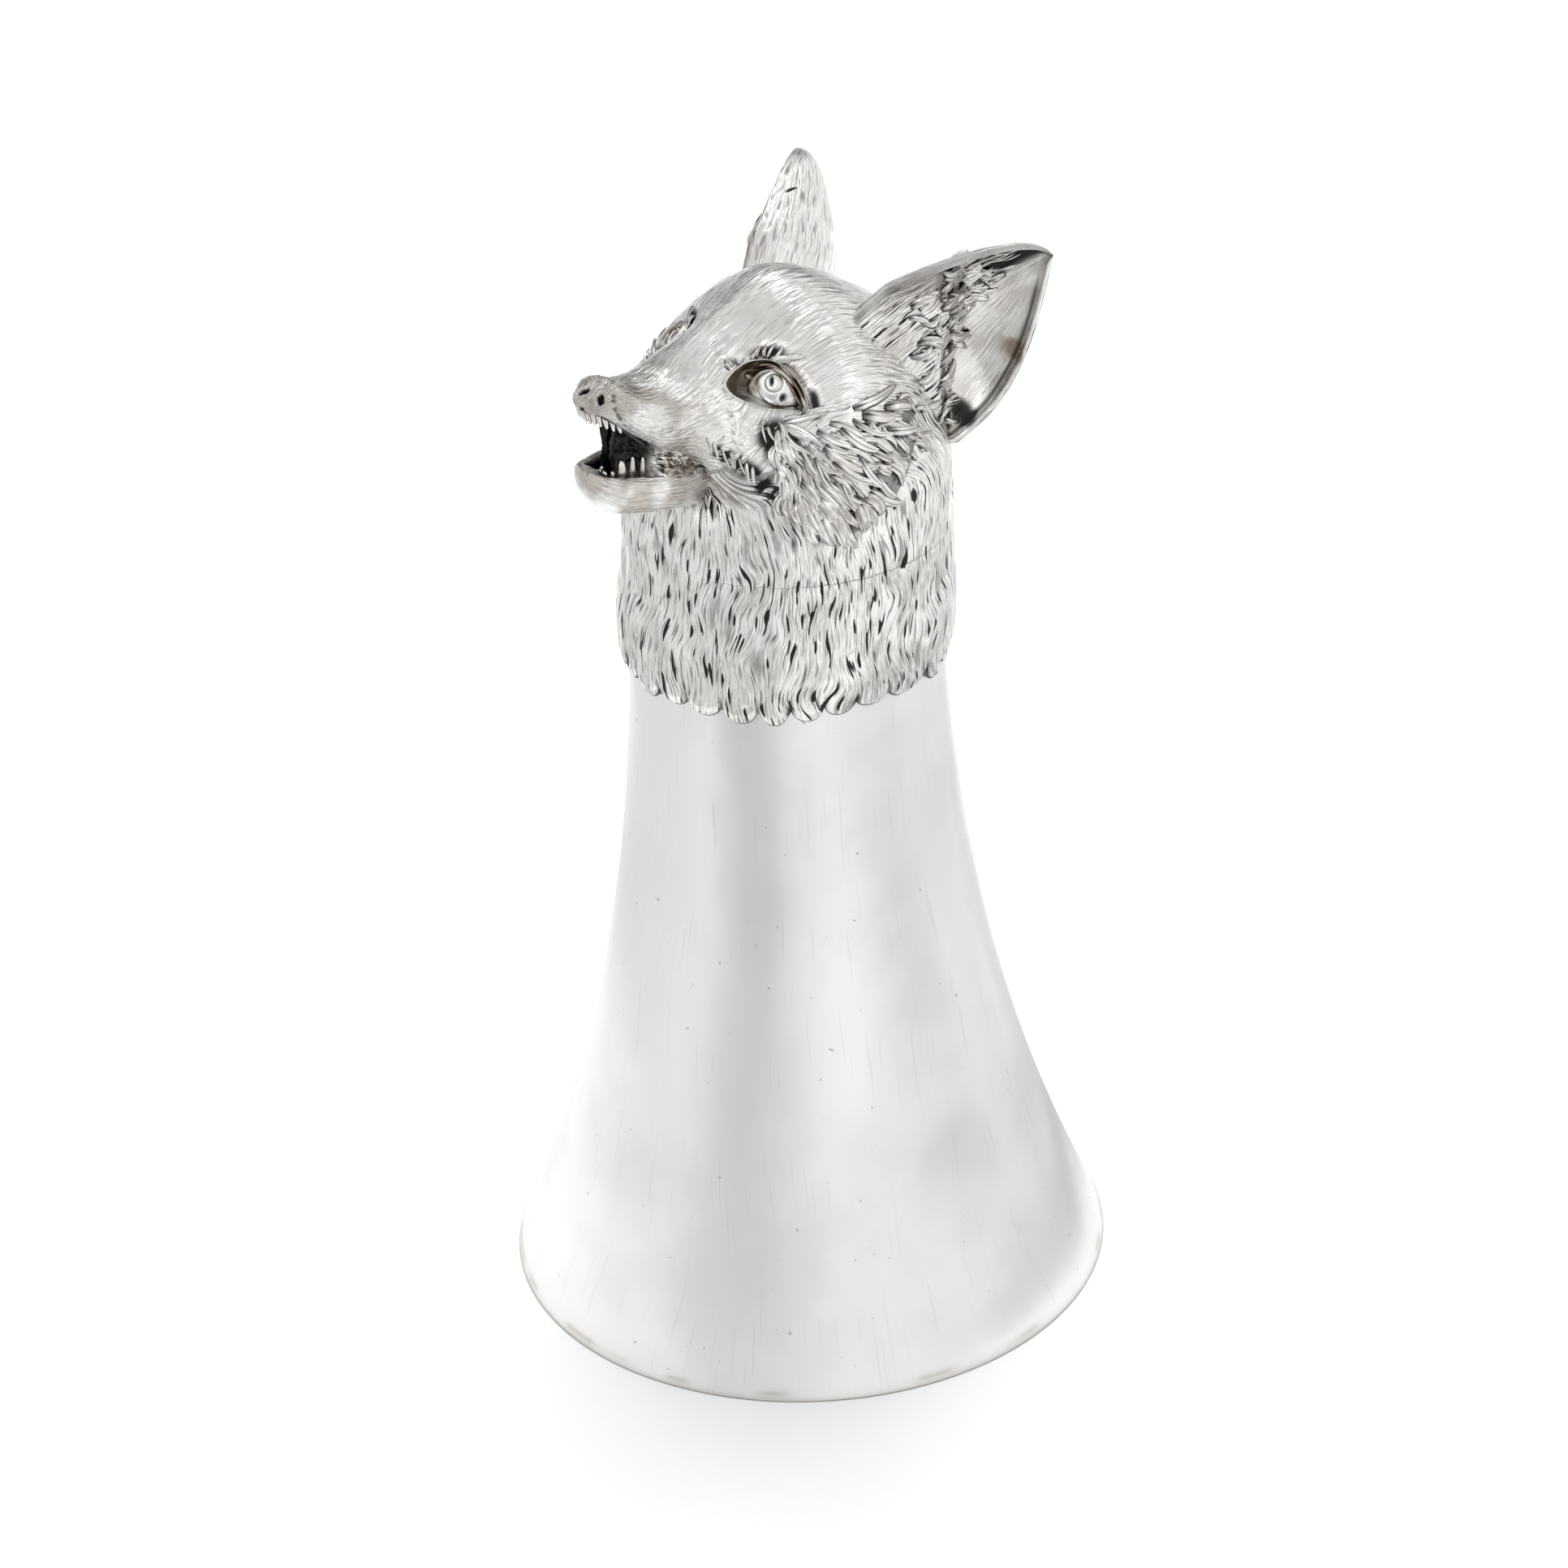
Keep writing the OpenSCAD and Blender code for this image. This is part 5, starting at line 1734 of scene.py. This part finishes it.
@dataclass
class Studio:
    """Camera, soft light, pale floor, white surroundings and cards for the reflections."""

    place: Point = (0.411918, -0.343660, 0.373364)
    focal_px: float = 6162.12
    image_px: float = 1932.0
    sensor: float = 36.0
    azimuth: float = 50.16
    pitch: float = 29.78
    yaw: float = -0.114
    roll: float = -2.464
    lamp_place: Point = (-0.25, 0.30, 1.15)
    lamp_aim: Point = (0.0, 0.0, 0.08)
    lamp_size: float = 0.7
    lamp_power: float = 11.0
    cards: tuple[Card, ...] = (
        Card("front_card", (-72.0, 14.0), ((0.10, 0.002), (0.9, 0.002), (0.9, 0.45)), 0.55, 0.9),
        Card("left_card", (-150.0, -56.0), ((0.10, 0.0025), (0.95, 0.0025), (0.95, 0.5)), 0.80),
        Card("right_card", (84.0, 130.0), ((0.08, 0.002), (0.7, 0.002), (0.7, 0.5)), 0.86, 0.9),
        Card("top_card", (-180.0, 180.0), ((0.02, 1.35), (1.1, 1.35)), 0.72, 0.0),
        Card("table_card", (30.0, 150.0), ((0.045, 0.0015), (0.20, 0.0015)), 0.58, 0.4),
        Card("left_strip", (-38.0, -22.0), ((0.9, 0.62), (0.8, 1.15)), 4.0, 0.8),
        Card("right_strip", (46.0, 70.0), ((0.9, 0.35), (0.8, 1.10)), 1.7, 0.8),
        Card("back_strip", (165.0, 195.0), ((0.8, 0.95), (0.5, 1.25)), 4.0, 0.8),
        Card("back_card", (140.0, 250.0), ((0.9, 0.15), (0.9, 0.7)), 0.22))

    def build(self) -> None:
        """Set up everything round the cup."""
        self.camera()
        self.surroundings()
        self.floor()
        self.lamp()
        for card in self.cards:
            self.card(card)

    def camera(self) -> None:
        """A camera turned by azimuth, yaw, pitch and roll, with the photograph's focal length."""
        azimuth, pitch, yaw, roll = np.radians([self.azimuth, self.pitch, self.yaw, self.roll]).tolist()
        level = math.cos(pitch)
        ahead = np.array([math.sin(yaw) * level, math.cos(yaw) * level, -math.sin(pitch)])
        right = unit(np.cross(ahead, [0, 0, 1.0]))
        up = np.cross(right, ahead)
        c, s = math.cos(roll), math.sin(roll)
        x, y, z = np.stack([c * right + s * up, -s * right + c * up, -ahead], -1)
        c, s = math.cos(azimuth), math.sin(azimuth)
        matrix = np.eye(4)
        matrix[:3, :3] = [x * c - y * s, x * s + y * c, z]
        matrix[:3, 3] = self.place
        data = bpy.data.cameras.new("camera")
        data.sensor_width = self.sensor
        data.sensor_fit = "HORIZONTAL"
        data.lens = self.sensor * self.focal_px / self.image_px
        data.clip_start, data.clip_end = 0.01, 50.0
        made = add_object("camera", data)
        made.matrix_world = Matrix(matrix.tolist())
        bpy.context.scene.camera = made

    def surroundings(self) -> None:
        """White to the camera, to reflections and through glass, and a light grey as light."""
        world = bpy.data.worlds.new("studio_white")
        bpy.context.scene.world = world
        b = Bench(world)
        camera, glossy, through = (b.node("ShaderNodeLightPath", {}, {}, f"Is {kind} Ray")
                                   for kind in ("Camera", "Glossy", "Transmission"))
        seen = b.node("ShaderNodeMath", {"operation": "ADD", "use_clamp": True},
                      {0: camera + glossy, 1: through})
        soft, white = (b.node("ShaderNodeBackground", {}, {"Color": (v, v, v, 1)}) for v in (0.62, 1.0))
        b.surface(b.node("ShaderNodeMixShader", {}, {0: seen, 1: soft, 2: white}))

    def floor(self) -> None:
        """A wide pale floor under the rim."""
        mesh = bpy.data.meshes.new("floor")
        mesh.from_pydata([(-4, -4, 0), (4, -4, 0), (4, 4, 0), (-4, 4, 0)], [], [(0, 1, 2, 3)])
        b = Bench.material("floor_white")
        mesh.materials.append(b.surface(b.node("ShaderNodeBsdfPrincipled", {}, {
            "Base Color": (0.97, 0.97, 0.97, 1), "Roughness": 0.9, "Specular IOR Level": 0.0})))
        made = add_object("floor", mesh)

    def card(self, card: Card) -> None:
        """A card's profile carried round its sector, hidden from all but reflections.

        Args:
            card: The card.
        """
        a = np.radians(np.linspace(*card.sector, 24) + self.azimuth - 90.0)[:, None]
        r, z = np.array(card.profile).T
        points = np.stack([r * np.cos(a), r * np.sin(a), z + 0 * a], -1)
        rows, cols = points.shape[:2]
        k = np.arange(rows - 1)[:, None] * cols + np.arange(cols - 1)[None]
        faces = np.stack([k, k + 1, k + cols + 1, k + cols], -1).reshape(-1, 4)
        mesh = bpy.data.meshes.new(card.name)
        mesh.from_pydata(points.reshape(-1, 3).tolist(), [], faces.tolist())
        side = np.minimum(np.linspace(0, 1, rows), np.linspace(1, 0, rows))
        full = np.repeat(ease(0.0, 0.5 * card.fade, side) if card.fade else np.ones(rows), cols)
        mesh.attributes.new("full", "FLOAT", "POINT").data.foreach_set("value", full.astype(np.float32))
        b = Bench.material(card.name)
        shade = b.mix(b.mark("full"), (1.0, 1.0, 1.0), (card.tone, card.tone, card.tone))
        mesh.materials.append(b.surface(b.node("ShaderNodeEmission", {}, {"Color": shade, "Strength": 1.0})))
        made = add_object(card.name, mesh)
        made.visible_camera = made.visible_diffuse = made.visible_shadow = made.visible_transmission = False

    def lamp(self) -> None:
        """A soft square lamp that faces the cup."""
        data = bpy.data.lights.new("key_softbox", "AREA")
        data.shape = "SQUARE"
        data.size = self.lamp_size
        data.energy = self.lamp_power
        z = unit(np.array(self.lamp_place) - np.array(self.lamp_aim))
        x = unit(np.cross([0, 0, 1.0], z))
        matrix = np.eye(4)
        matrix[:3] = np.stack([x, np.cross(z, x), z, self.lamp_place], -1)
        made = add_object("key_softbox", data)
        made.matrix_world = Matrix(matrix.tolist())
        made.visible_glossy = False


def main() -> None:
    """Set up the studio, build the cup's pieces in order and report each one."""
    logging.basicConfig(level=logging.INFO, format="%(name)s: %(message)s")
    Studio().build()
    fur = WavyHair()
    spun = SpunSilver().material()
    cast = CastSilver("cast_silver_fur").material()
    dark = CastSilver("oxidised_silver_eye", dark=0.5).material()
    beaker, head = Beaker(spun), Head(cast)
    jaw = Jaw(cast, head)
    eyes = [Eye(cast, dark, side, head) for side in Side]
    pieces = [beaker.build(), Collar(cast, beaker, head).build(fur), head.build(fur, eyes[0]), head.ruff(),
              jaw.build(), Lining(cast, head, jaw).build()]
    beaker.dress_floor()
    for eye in eyes:
        ear = Ear(cast, eye.side)
        pieces += [ear.build(), ear.tufts(), eye.ball(), eye.lids()]
    pieces += [Teeth(dark, row, jaw).build() for row in Row]
    for piece in pieces:
        LOG.info("%s: %d faces", piece.name, len(piece.data.polygons))
    bpy.context.scene.view_settings.view_transform = "Standard"


if __name__ == "__main__":
    main()
